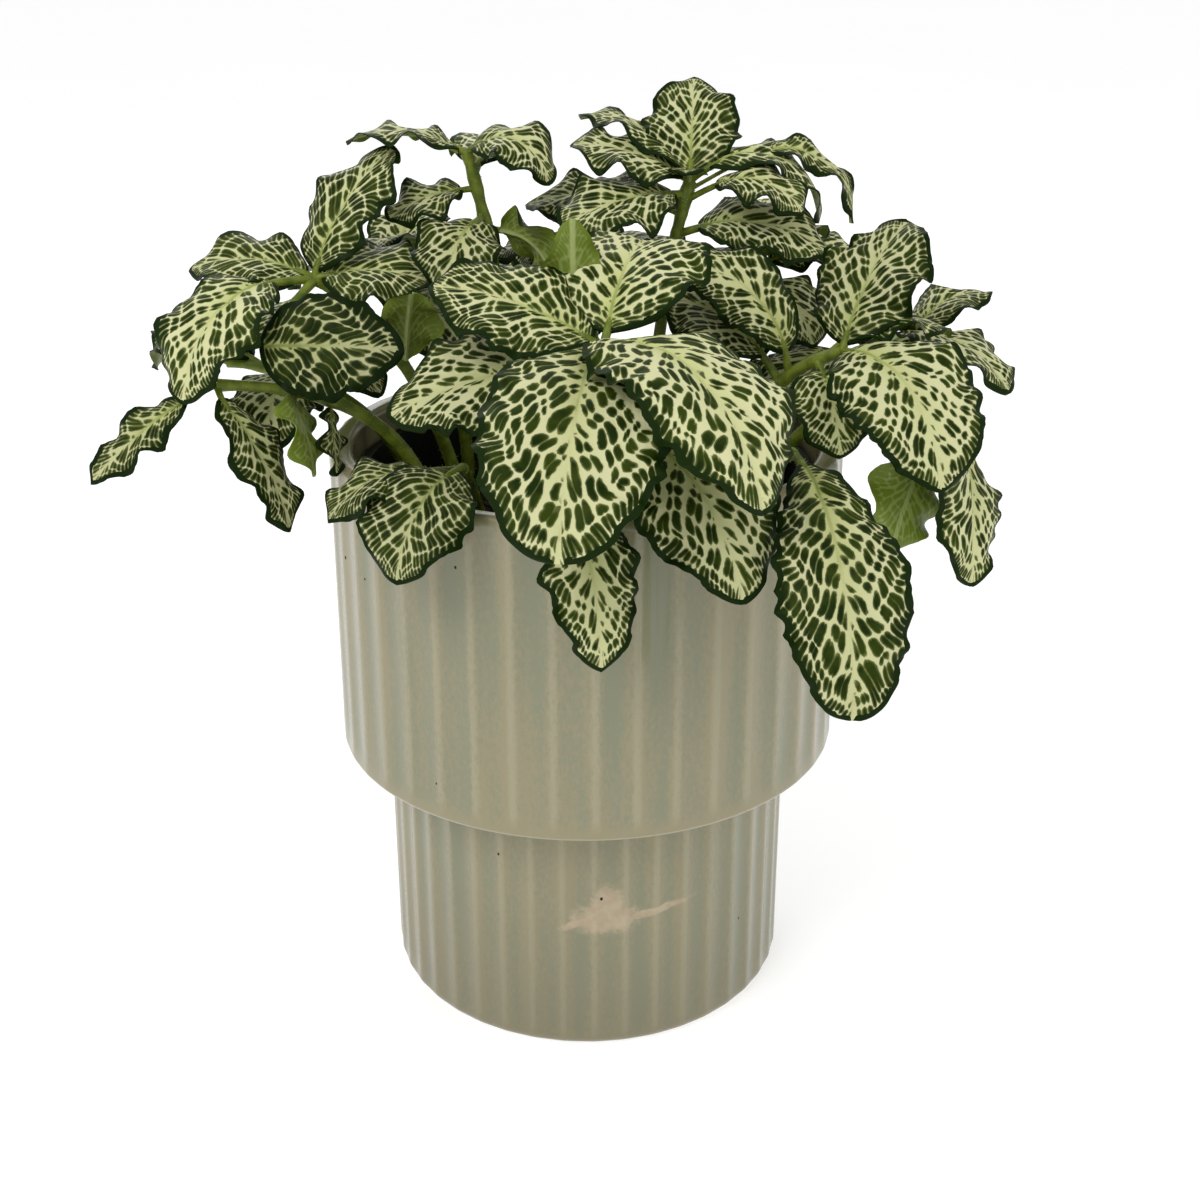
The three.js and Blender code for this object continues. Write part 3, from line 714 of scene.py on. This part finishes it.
def leaf_object(name, shoot, leaf, index, draw, materials):
    """One blade: a thin closed skin with waved, toothed margins and sunken veins.

    Along it, s runs from 0 at the base to 1 at the tip. Across it, t runs from -1 to 1 between
    the margins, and v and w are the distance from the midrib in mm, with and without a sign."""
    length, width = leaf["length"], leaf["width"]
    stalk = direction(leaf["petioleHeading"], leaf["petioleRise"])
    start = stem_point(shoot, leaf["at"]) + stalk * leaf["petiole"]
    rows = max(int(length / ROW_PITCH), 24)
    columns = 2 * max(int(width / COLUMN_PITCH), 7)
    u = np.linspace(0, 1, rows + 1)
    s = 0.55 * u + 0.45 * (1 - np.cos(math.pi * u)) / 2
    s[0], s[-1] = 0.0015, 0.9985
    point, along, side, normal = midrib_frames(leaf, start, s)

    t = np.sin(np.linspace(-1, 1, columns + 1) * math.pi / 2 * CROWDING)
    t = t / math.sin(math.pi / 2 * CROWDING)
    right = t > 0
    half = width / 2 * blade_profile(s, leaf["widest"], leaf["blunt"])
    left_teeth, left_ruffle = margin_shape(s, length, draw)
    right_teeth, right_ruffle = margin_shape(s, length, draw)
    out = np.abs(t)
    teeth = np.where(right, right_teeth[:, None], left_teeth[:, None]) * np.sign(t) * out ** 5
    v = half[:, None] * t + teeth
    x = np.broadcast_to((s * length)[:, None], v.shape)

    phase = LEAF_OFFSET * index
    turn = 2 * math.pi * WAVES * s[:, None] + phase + np.where(right, WAVE_OFFSET, 0.0)
    calm_ends = np.minimum(1, 4 * s) * np.minimum(1, 4 * (1 - s) + 0.3)
    wave = leaf["wave"] * out ** 2 * calm_ends[:, None] * np.sin(turn)
    ruffle = np.where(right, right_ruffle[:, None], left_ruffle[:, None]) * out ** 3
    ruffle = ruffle * leaf["ruffle"] * min(1, width / 30)
    lift = half[:, None] * (CUP_RISE * out - CUP_FALL * out ** 2) + wave + ruffle

    w = np.abs(v)
    vein, run, stretch = flow_coordinates(x, w, width / 2, length)
    edge_x = np.concatenate([x[:, 0], x[:, -1]])
    edge_v = np.concatenate([v[:, 0], v[:, -1]])
    edge = margin_distance(x, v, edge_x, edge_v)
    cell = (CELL_SIZE + CELL_GROWTH * length) * leaf["cells"]
    relief = sunken_veins(vein, w, s, edge, cell * 3)
    thickness = SKIN - SKIN_LOSS * out ** 4
    rib = RIB_HEIGHT * np.exp(-(w / 0.9) ** 2) * (1.1 - s[:, None])

    surface = point[:, None, :] + side[:, None, :] * v[..., None]
    lifted = (lift + relief)[..., None] * normal[:, None, :]
    upper = surface + lifted + (thickness / 2)[None, :, None] * normal[:, None, :]
    lower = surface + lifted - ((thickness / 2)[None, :] + rib)[..., None] * normal[:, None, :]
    rings = np.concatenate([upper, lower[:, ::-1]], axis=1)
    faces, slots = skin_faces(rows, columns)
    skins = materials[::-1] if leaf["over"] else materials
    obj = mesh_object(name, rings.reshape(-1, 3), faces, skins, slots)
    sharpen(obj, 50)

    def both(values):
        return np.concatenate([values, values[:, ::-1]], axis=1).ravel()

    seed = draw.uniform(0, 900)
    level = both(0 * v)
    store(obj.data, "flow", np.stack([both(vein), both(run) + seed, level + cell], -1))
    store(obj.data, "place", np.stack([both(x) / length, both(v), both(edge)], -1))
    breadth = (leaf["breadth"] or draw.uniform(1.0, 1.4)) * (VEIN_SIZE + VEIN_GROWTH * length)
    tone = leaf["tone"] or draw.uniform(0.92, 1.14)
    store(obj.data, "kind", np.stack([level + tone, level + breadth, both(stretch)], -1))
    wear(obj, "leaf", shoot["name"])
    return start, along[0]


# ---------------- stems


def stem_green():
    graph = Graph("stem_green", Roughness=0.4, Specular_IOR_Level=0.25)
    place = graph.place()
    blotch = graph.noise(place, 300, 3.0).eased(0.35, 0.65)
    young = graph.mix(blotch, (0.085, 0.125, 0.008, 1), (0.165, 0.205, 0.020, 1))
    graph.colour(young)
    graph.bump(graph.noise(place, 1400, 2.0), 0.0001, 0.4)
    return graph.material


def hair_white():
    graph = Graph("hair_white", Roughness=0.6)
    tint = graph.noise(graph.place(), 500, 1.0).eased(0.3, 0.7)
    graph.colour(graph.mix(tint, (0.35, 0.40, 0.20, 1), (0.55, 0.58, 0.38, 1)))
    return graph.material


STEM_SEED = 500
HAIR_THICKNESS = 0.05
HAIRS_PER_MM = 2.5
STALK_HAIRS_PER_MM = 3.5
NODE_SWELLING = 0.4   # mm that a stem is thicker where leaves leave it


def hair(base, outward, length):
    """A three-sided spine that stands on a stem."""
    guide = np.array([0.3, 0.5, 0.8])
    a = unit(np.cross(outward, guide)) * HAIR_THICKNESS
    b = unit(np.cross(outward, a)) * HAIR_THICKNESS
    points = [base + a, base - a / 2 + b, base - a / 2 - b, base + outward * length]
    return points, [(2, 1, 0), (0, 1, 3), (1, 2, 3), (2, 0, 3)]


def stem_objects(shoot, leaves, draw, green, hairs):
    """A stem with its leaf stalks, and the short hairs that stand on them."""
    body = Gathered()
    fuzz = Gathered()

    def add_tube(path, radii, sides, per_mm):
        points, faces, outward = tube_parts(path, radii, sides)
        body.add(points, faces)
        length = np.linalg.norm(np.diff(path, axis=0), axis=1).sum()
        for _ in range(int(length * per_mm)):
            i = draw.randrange(sides, len(points) - sides)
            lean = outward[i] + np.array([draw.uniform(-0.4, 0.4) for _ in range(3)])
            base = points[i] + (points[i - sides] - points[i]) * draw.random()
            fuzz.add(*hair(base, unit(lean), draw.uniform(0.35, 0.8)))

    t = np.linspace(0, 1, 40)
    path = stem_point(shoot, t)
    foot = np.array([*shoot["root"], SOIL_TOP - STEM_DEPTH], float)
    path = np.concatenate([[foot], path])
    radii = STEM_RADIUS * (1 - STEM_TAPER * np.concatenate([[0], t]))
    for at in sorted({leaf["at"] for leaf in shoot["blades"]}):
        radii = radii + NODE_SWELLING * np.exp(-((np.concatenate([[0], t]) - at) / 0.03) ** 2)
    add_tube(path, radii, 14, HAIRS_PER_MM)

    for leaf, (start, heading) in zip(shoot["blades"], leaves):
        joint = stem_point(shoot, leaf["at"])
        stalk = direction(leaf["petioleHeading"], leaf["petioleRise"])
        reach = min(0.3 * leaf["length"], 9)
        end = start + heading * reach * 0.5 - np.array([0, 0, 0.5])
        reachable = np.linalg.norm(end - joint)
        points = (joint, joint + stalk * reachable * 0.4, end - heading * reachable * 0.3, end)
        steps = np.linspace(0, 1, 14)
        thick = min(1.0, leaf["width"] / 24)
        size = PETIOLE_RADIUS * thick * np.interp(steps, [0, 0.15, 0.75, 1], [1.2, 0.95, 0.85, 0.3])
        add_tube(bezier(points, steps), size, 10, STALK_HAIRS_PER_MM)

    stem = body.build(shoot["name"] + "_stem", [green])
    sharpen(stem, 60)
    wear(stem, "leaf", shoot["name"])
    fluff = fuzz.build(shoot["name"] + "_hairs", [hairs])
    wear(fluff, "leaf", shoot["name"])


def grow_plant():
    """Every stem of the plant with its leaves."""
    skins = [leaf_upper(), leaf_under()]
    green, hairs = stem_green(), hair_white()
    shoots = SHOOTS + [far_shoot(shoot, index) for index, shoot in enumerate(FAR_SHOOTS)]
    for number, shoot in enumerate(shoots):
        draw = random.Random(STEM_SEED + number)
        leaves = []
        for index, leaf in enumerate(shoot["blades"]):
            name = f"{shoot['name']}_leaf_{index + 1}"
            leaves.append(leaf_object(name, shoot, leaf, index, draw, skins))
        stem_objects(shoot, leaves, draw, green, hairs)


# ---------------- pots and soil


def rounded(corners):
    """An outline whose corners [x, y, radius] are turned into arcs."""
    points = []
    for i, (x, y, radius) in enumerate(corners):
        here = np.array([x, y], float)
        if radius == 0:
            points.append(here)
            continue
        before = np.array(corners[i - 1][:2], float) - here
        after = np.array(corners[i + 1][:2], float) - here
        before, after = unit(before), unit(after)
        turn = math.acos(np.clip(before @ after, -1, 1))
        reach = radius / math.tan(turn / 2)
        centre = here + unit(before + after) * radius / math.sin(turn / 2)
        first, last = here + before * reach - centre, here + after * reach - centre
        sweep = math.pi - turn
        for share in np.linspace(0, 1, 7):
            a, b = math.sin((1 - share) * sweep), math.sin(share * sweep)
            points.append(centre + (first * a + last * b) / math.sin(sweep))
    return np.array(points)


def refined(outline, step):
    """An outline with extra points, so that none are further apart than a step."""
    points = [outline[0]]
    for a, b in zip(outline[:-1], outline[1:]):
        parts = max(1, math.ceil(np.linalg.norm(b - a) / step))
        points.extend(a + (b - a) * k / parts for k in range(1, parts + 1))
    return np.array(points)


def turned(name, outline, columns, materials, depth=None):
    """A solid of revolution. Depth gives how deep the flutes are at each row of the outline."""
    turns = angles_round(columns)
    hollow = flute_hollow(turns)
    depth = np.zeros(len(outline)) if depth is None else depth
    rings = [circle(radius - deep * hollow, height, turns)
             for (radius, height), deep in zip(outline, depth)]
    faces = capped_faces(len(outline), columns)
    obj = mesh_object(name, np.concatenate(rings), faces, materials)
    share = (depth / max(depth.max(), 1e-6))[:, None]
    values = np.stack([np.tile(hollow, (len(outline), 1)), np.tile(share, (1, columns)),
                       np.zeros((len(outline), columns))], -1)
    store(obj.data, "flute", values.reshape(-1, 3))
    return obj


def flute_hollow(turns):
    """0 on a ridge and 1 at the bottom of a flute, with the ridges a little rounded."""
    soft = FLUTE_SOFTNESS
    wave = np.sqrt(np.sin(FLUTES * (turns - math.radians(FLUTE_TURN)) / 2) ** 2 + soft ** 2) - soft
    return wave / (math.sqrt(1 + soft ** 2) - soft)


RIDGE_PALE = (0.345, 0.325, 0.215, 1)
FLANK_BEIGE = (0.280, 0.245, 0.143, 1)
FLUTE_SAGE = (0.212, 0.218, 0.138, 1)
GLAZE_OLIVE = (0.150, 0.158, 0.050, 1)
GLAZE_LOW_DARK = (0.125, 0.110, 0.062, 1)
BARE_BEIGE = (0.440, 0.360, 0.245, 1)
BARE_ROSE = (0.400, 0.300, 0.195, 1)
FOOT_CLAY = (0.62, 0.60, 0.54, 1)


def oval(x, z, centre, radii, slope=0.0):
    """0 at the middle of an oval, 1 on its outline, in mm. Slope tips its long axis up."""
    across, up = x - centre[0], z - centre[1]
    return ((across / radii[0]) ** 2 + ((up - across * slope) / radii[1]) ** 2) ** 0.5


def bare_patch(graph, x, z, place):
    """The bare spot low on the front, with a spur to the left and a long tail to the right."""
    body = oval(x, z, (4.4, 41.8), (9.2, 4.7))
    head = oval(x, z, (5.0, 45.6), (4.6, 6.8))
    spur = oval(x, z, (-3.0, 40.6), (4.5, 1.5), 0.3)
    tail = oval(x, z, (17.5, 42.6), (10.5, 1.3), 0.16)
    ragged = (graph.noise(place, 300, 5.0, 0.7) - 0.5) * 1.2
    nearest = body.smaller(head).smaller(spur).smaller(tail) + ragged
    return nearest.eased(0.6, 1.25, 1.0, 0.0)


def glaze():
    """Glossy glaze that breaks beige over the ridges and pools grey-green in the flutes."""
    graph = Graph("glaze", Roughness=0.2, IOR=1.5)
    place = graph.place()
    x, y, z = graph.parts(place)
    hollow, fluted, _ = graph.stored("flute")
    cloud = graph.noise(graph.vector(x, y, z * 0.45), 26, 3.0) - 0.5
    stripes = graph.noise(graph.vector(x, y, z * 0.06), 190, 2.0) - 0.5
    grain = graph.noise(graph.vector(x, y, z * 0.5), 1100, 4.0, 0.75) - 0.5
    pooled = hollow * 0.7 + cloud * 1.6 + stripes * 2.2 + grain * 2.6
    pooled = pooled.eased(-0.1, 1.1) * fluted.eased(0.0, 0.8)
    shade = graph.mix(pooled, FLANK_BEIGE, FLUTE_SAGE)
    crest = (hollow + grain * 0.5 + stripes * 0.3).eased(-0.05, 0.4, 1.0, 0.0)
    # Painted highlight: a pale line along the rounded lower edge of the upper tier, in the ridges'
    # pale colour.
    step_highlight = abs(z * 1000.0 - (STEP_HEIGHT + 0.7)).eased(0.2, 0.6, 1.0, 0.0)
    step_highlight = step_highlight * ((x * x + y * y) ** 0.5 * 1000.0).above(UPPER_RADIUS - 2.5)
    shade = graph.mix((crest * fluted.eased(0.2, 0.8) * 0.6).larger(step_highlight), shade, RIDGE_PALE)

    front = (-1.0 * y).above(0.0)
    x_mm, z_mm = x * 1000.0, z * 1000.0
    # Darker towards the bottom of the lower tier, and a little darker all over.
    low = (z_mm + cloud * 30.0).eased(-20.0, STEP_HEIGHT, 0.5, 0.0)
    shade = graph.mix(low + 0.06, shade, GLAZE_LOW_DARK)
    run = graph.noise(graph.vector(x * 420, y * 420, z * 12), 1.0, 2.0).eased(0.45, 0.68)
    runs = run * oval(x_mm, z_mm, (13.0, 140.0), (12.0, 21.0)).eased(0.5, 1.05, 1.0, 0.0)
    shade = graph.mix(runs * front * 0.55, shade, GLAZE_OLIVE)

    bare = bare_patch(graph, x_mm, z_mm, place) * front
    bisque = graph.mix(graph.noise(place, 420, 2.0).eased(0.35, 0.65), BARE_BEIGE, BARE_ROSE)
    shade = graph.mix(bare * 0.75, shade, bisque)

    foot = (z_mm + cloud * 2.0).eased(0.5, 1.3, 1.0, 0.0)
    shade = graph.mix(foot, shade, FOOT_CLAY)
    graph.colour(shade)
    graph.plug(0.2 + foot * 0.5 + bare * 0.15, graph.shader.inputs["Roughness"])
    graph.bump(graph.noise(place, 420, 2.0), 0.00008, 0.5)
    return graph.material


def cover_pot():
    """The fluted ceramic pot, as one fired piece."""
    inside = RIM_RADIUS - POT_WALL
    lower_inside = LOWER_RADIUS - POT_WALL
    outline = refined(rounded([
        (0.5, 0, 0),
        (LOWER_RADIUS - 0.15, 0, 3.6),
        (LOWER_RADIUS - 0.5, STEP_HEIGHT, 0.6),
        (UPPER_RADIUS, STEP_HEIGHT, 1.9),
        (RIM_RADIUS, POT_HEIGHT, 2.6),
        (inside, POT_HEIGHT - 0.6, 2.2),
        (inside, LEDGE_HEIGHT, 2),
        (lower_inside, LEDGE_HEIGHT, 1),
        (lower_inside, FLOOR_HEIGHT, 3),
        (0.5, FLOOR_HEIGHT, 0),
    ]), 6)
    radius, height = outline[:, 0], outline[:, 1]
    outside = np.arange(len(outline)) <= np.argmax(height)
    fade_foot = np.clip(height / 7, 0, 1)
    fade_rim = np.clip((POT_HEIGHT - height) / 3.5, 0, 1) ** 0.6
    above_step = np.clip((height - STEP_HEIGHT) / 9, 0, 1)
    fade_step = np.where((height < STEP_HEIGHT) | (radius < LOWER_RADIUS + 0.1), 1, above_step)
    near_wall = radius > LOWER_RADIUS - 4
    depth = FLUTE_DEPTH * fade_foot * fade_rim * fade_step * outside * near_wall
    pot = turned("cover_pot_glazed", outline, FLUTES * 12, [glaze()], depth)
    sharpen(pot, 70)
    wear(pot, "glaze", "cover_pot")


# Small iron specks in the glaze: the angle round from the front, the height and the size.
SPECKS = [
    (-55.7, 152.8, 0.50), (-55.3, 147.7, 0.38), (-65.3, 135.3, 0.48), (-55.2, 133.6, 0.36),
    (-44.9, 140.0, 0.28), (-43.7, 139.5, 0.34), (-43.6, 137.2, 0.32), (-27.2, 145.7, 0.44),
    (-30.8, 149.6, 0.22), (-33.7, 84.7, 0.34), (-24.6, 59.5, 0.30), (48.7, 28.6, 0.34),
    (3.6, 48.4, 0.42), (112.0, 120.0, 0.40), (148.0, 55.0, 0.35), (171.0, 98.0, 0.30),
    (-120.0, 88.0, 0.40), (-150.0, 30.0, 0.35), (80.0, 104.0, 0.30), (95.0, 38.0, 0.35),
]


def speck_brown():
    graph = Graph("speck_brown", Roughness=0.6, Specular_IOR_Level=0.1)
    tint = graph.noise(graph.place(), 900, 1.0)
    graph.colour(graph.mix(tint, (0.008, 0.006, 0.004, 1), (0.035, 0.026, 0.018, 1)))
    return graph.material


def glaze_specks():
    """Flat blisters that lie on the fluted wall."""
    bits = Gathered()
    for angle, height, size in SPECKS:
        turn = math.radians(angle - 90)
        share = (height - STEP_HEIGHT) / (POT_HEIGHT - STEP_HEIGHT)
        wall = UPPER_RADIUS + (RIM_RADIUS - UPPER_RADIUS) * share
        if height < STEP_HEIGHT:
            wall = LOWER_RADIUS - 0.3
        radius = wall - FLUTE_DEPTH * float(flute_hollow(np.array(turn)))
        out = np.array([math.cos(turn), math.sin(turn), 0])
        across = np.array([-math.sin(turn), math.cos(turn), 0])
        centre = out * radius + np.array([0, 0, height])
        points = [centre + out * 0.12]
        sides = 9
        for ring, drop in ((0.6, 0.08), (1.0, -0.12)):
            for i in range(sides):
                a = 2 * math.pi * i / sides
                up = np.array([0, 0, 1.35 * math.sin(a)])
                points.append(centre + out * drop + (across * math.cos(a) + up) * size * ring)
        faces = [(0, 1 + i, 1 + (i + 1) % sides) for i in range(sides)]
        for i in range(sides):
            j = (i + 1) % sides
            faces.append((1 + i, 1 + sides + i, 1 + sides + j, 1 + j))
        faces.append(tuple(1 + sides + i for i in range(sides - 1, -1, -1)))
        bits.add(points, faces)
    specks = bits.build("glaze_specks", [speck_brown()])
    wear(specks, "glaze")


NURSERY_AT_LEDGE = (LOWER_RADIUS - POT_WALL) - CLEARANCE
NURSERY_TAPER = (NURSERY_RADIUS - NURSERY_AT_LEDGE) / (NURSERY_TOP - LEDGE_HEIGHT)


def nursery_radius(height):
    return NURSERY_RADIUS - NURSERY_TAPER * (NURSERY_TOP - height) - 0.05


def black_plastic_and_shade():
    graph = Graph("black_plastic_and_shade", Roughness=0.55, Specular_IOR_Level=0.2)
    place = graph.place()
    dust = graph.noise(place, 60, 4.0).eased(0.5, 0.8)
    # Painted shade in part: black plastic, made darker still to stand for the deep shade inside the
    # pot.
    graph.colour(graph.mix(dust, (0.002, 0.002, 0.002, 1), (0.012, 0.010, 0.008, 1)))
    graph.bump(graph.noise(place, 1500, 1.0), 0.00006, 0.5)
    return graph.material


def nursery_pot():
    """The plain black pot that hangs in the cover pot."""
    floor = NURSERY_BOTTOM + NURSERY_WALL
    lip_bottom = NURSERY_TOP - NURSERY_LIP
    lip_radius = NURSERY_RADIUS + 0.8
    outline = refined(rounded([
        (0.5, NURSERY_BOTTOM, 0),
        (nursery_radius(NURSERY_BOTTOM), NURSERY_BOTTOM, 2),
        (nursery_radius(lip_bottom), lip_bottom, 0.4),
        (lip_radius, lip_bottom + 0.6, 0.3),
        (lip_radius, NURSERY_TOP, 0.5),
        (NURSERY_RADIUS - NURSERY_WALL, NURSERY_TOP, 0.5),
        (nursery_radius(floor) - NURSERY_WALL, floor, 1.5),
        (0.5, floor, 0),
    ]), 8)
    pot = turned("nursery_pot_shell", outline, 144, [black_plastic_and_shade()])
    sharpen(pot, 50)
    wear(pot, "nursery_plastic", "nursery_pot")


def soil_brown_and_shade():
    graph = Graph("soil_brown_and_shade", Roughness=0.95, Specular_IOR_Level=0.2)
    place = graph.place()
    damp = graph.noise(place, 90, 5.0, 0.7).eased(0.3, 0.7)
    fleck = graph.noise(place, 900, 3.0, 0.7).eased(0.60, 0.72)
    # Painted shade in part: dark brown soil, made darker still to stand for the deep shade inside
    # the pot.
    dark = graph.mix(damp, (0.004, 0.003, 0.002, 1), (0.022, 0.015, 0.009, 1))
    graph.colour(graph.mix(fleck, dark, (0.07, 0.050, 0.032, 1)))
    graph.bump(graph.noise(place, 700, 6.0, 0.7), 0.0008, 0.9)
    return graph.material


SOIL_SEED = 77
CRUMBS = 900
SOIL_DIP = 2.2      # mm that the soil sinks by its edge
DIP_START = 0.85    # share of its radius where that begins
DIP_WIDTH = 0.15


def soil_dip(share):
    return SOIL_DIP * max(0, share - DIP_START) / DIP_WIDTH


def soil_height(x, y):
    return SOIL_TOP + 1.2 * (np.sin(0.31 * x + 1.3) * np.cos(0.27 * y)
                             + 0.6 * np.sin(0.52 * y - 0.35 * x))


def crumb(centre, size, draw):
    """A rough lump of eight corners cut short, standing for a bit of bark or peat."""
    points = []
    for x in (-1, 1):
        for y in (-1, 1):
            for z in (-1, 1):
                jolt = np.array([draw.uniform(0.55, 1.1) for _ in range(3)])
                points.append(np.array([x, y, z]) * jolt)
    turn = draw.uniform(0, 6.3)
    spin = np.array([[math.cos(turn), -math.sin(turn), 0], [math.sin(turn), math.cos(turn), 0],
                     [0, 0, 1]])
    stretch = np.array([draw.uniform(0.7, 1.6), 1, draw.uniform(0.5, 0.9)])
    points = [centre + spin @ (p * stretch * size) for p in points]
    faces = [(0, 1, 3, 2), (4, 6, 7, 5), (0, 4, 5, 1), (2, 3, 7, 6), (0, 2, 6, 4), (1, 5, 7, 3)]
    return points, faces


def soil():
    """Potting soil: a lumpy plug with loose crumbs on it."""
    draw = random.Random(SOIL_SEED)
    edge = SOIL_TOP - 3
    gap = NURSERY_WALL + 0.5
    floor = NURSERY_BOTTOM + NURSERY_WALL + CLEARANCE
    radius = nursery_radius(edge) - gap
    columns = 96
    turns = angles_round(columns)
    foot = nursery_radius(floor) - gap
    rings = [circle(0.5, floor, turns), circle(foot, floor, turns), circle(radius, edge, turns)]
    for share in np.linspace(0.975, 0.01, 34):
        x, y = radius * share * np.cos(turns), radius * share * np.sin(turns)
        rough = np.array([draw.uniform(-0.7, 0.7) for _ in range(columns)]) * min(1, share * 3)
        z = soil_height(x, y) + rough - soil_dip(share)
        rings.append(np.stack([x, y, z], -1))
    bits = Gathered()
    bits.add(np.concatenate(rings), capped_faces(len(rings), columns))
    for _ in range(CRUMBS):
        r, a = radius * math.sqrt(draw.random()) * 0.97, draw.uniform(0, 6.3)
        x, y = r * math.cos(a), r * math.sin(a)
        size = draw.choice((0.5, 0.7, 0.9, 1.3))
        sunk = soil_height(x, y) - soil_dip(r / radius)
        bits.add(*crumb(np.array([x, y, sunk + 0.1]), size, draw))
    plug = bits.build("soil_surface", [soil_brown_and_shade()])
    sharpen(plug, 35)
    wear(plug, "soil", "soil")


# ---------------- stage


def stage_floor():
    graph = Graph("stage_floor", Roughness=0.9, Emission_Color=(1, 1, 1, 1), Emission_Strength=0.52)
    graph.colour(graph.mix(graph.noise(graph.place(), 2.0), (0.62, 0.62, 0.62, 1),
                           (0.64, 0.64, 0.64, 1)))
    reach = 12000
    points = [(-reach, -reach, 0), (reach, -reach, 0), (reach, reach, 0), (-reach, reach, 0)]
    obj = mesh_object("stage_floor", points, [(0, 1, 2, 3)], [graph.material])


LIGHTS_AIM = (0, 0, 0.15)
LIGHTS = [  # name, place, size and power
    ("key", (-0.7, -0.9, 1.3), 0.7, 10),
    ("fill", (1.0, -0.6, 0.9), 0.9, 3),
    ("back", (-0.3, 1.2, 0.8), 0.9, 4),
]


def area_light(name, place, size, power):
    light = bpy.data.lights.new(name, "AREA")
    light.shape = "SQUARE"
    light.size = size
    light.energy = power
    obj = bpy.data.objects.new(name, light)
    obj.location = place
    away = np.array(LIGHTS_AIM) - np.array(place)
    yaw = math.atan2(away[1], away[0]) - math.pi / 2
    pitch = math.atan2(away[2], math.hypot(away[0], away[1])) + math.pi / 2
    obj.rotation_euler = (pitch, 0, yaw)
    bpy.context.scene.collection.objects.link(obj)


def lights():
    """A bright even room, with large soft lights to the upper left, the right and behind."""
    world = bpy.data.worlds.new("room")
    world.use_nodes = True
    world.node_tree.nodes["Background"].inputs["Color"].default_value = (1, 1, 1, 1)
    world.node_tree.nodes["Background"].inputs["Strength"].default_value = 0.70
    bpy.context.scene.world = world
    for light in LIGHTS:
        area_light(*light)
    bpy.context.scene.view_settings.view_transform = "Standard"


def camera():
    """At the photograph's viewing angle, a little above the plant and looking down on it."""
    data = bpy.data.cameras.new("camera")
    data.lens = 48
    data.sensor_width = 36
    obj = bpy.data.objects.new("camera", data)
    obj.location = (0, -0.4144, 0.292)
    obj.rotation_euler = (math.pi / 2 - 0.413, 0, -0.009)
    bpy.context.scene.collection.objects.link(obj)
    bpy.context.scene.camera = obj


camera()
lights()
stage_floor()
cover_pot()
glaze_specks()
nursery_pot()
soil()
grow_plant()
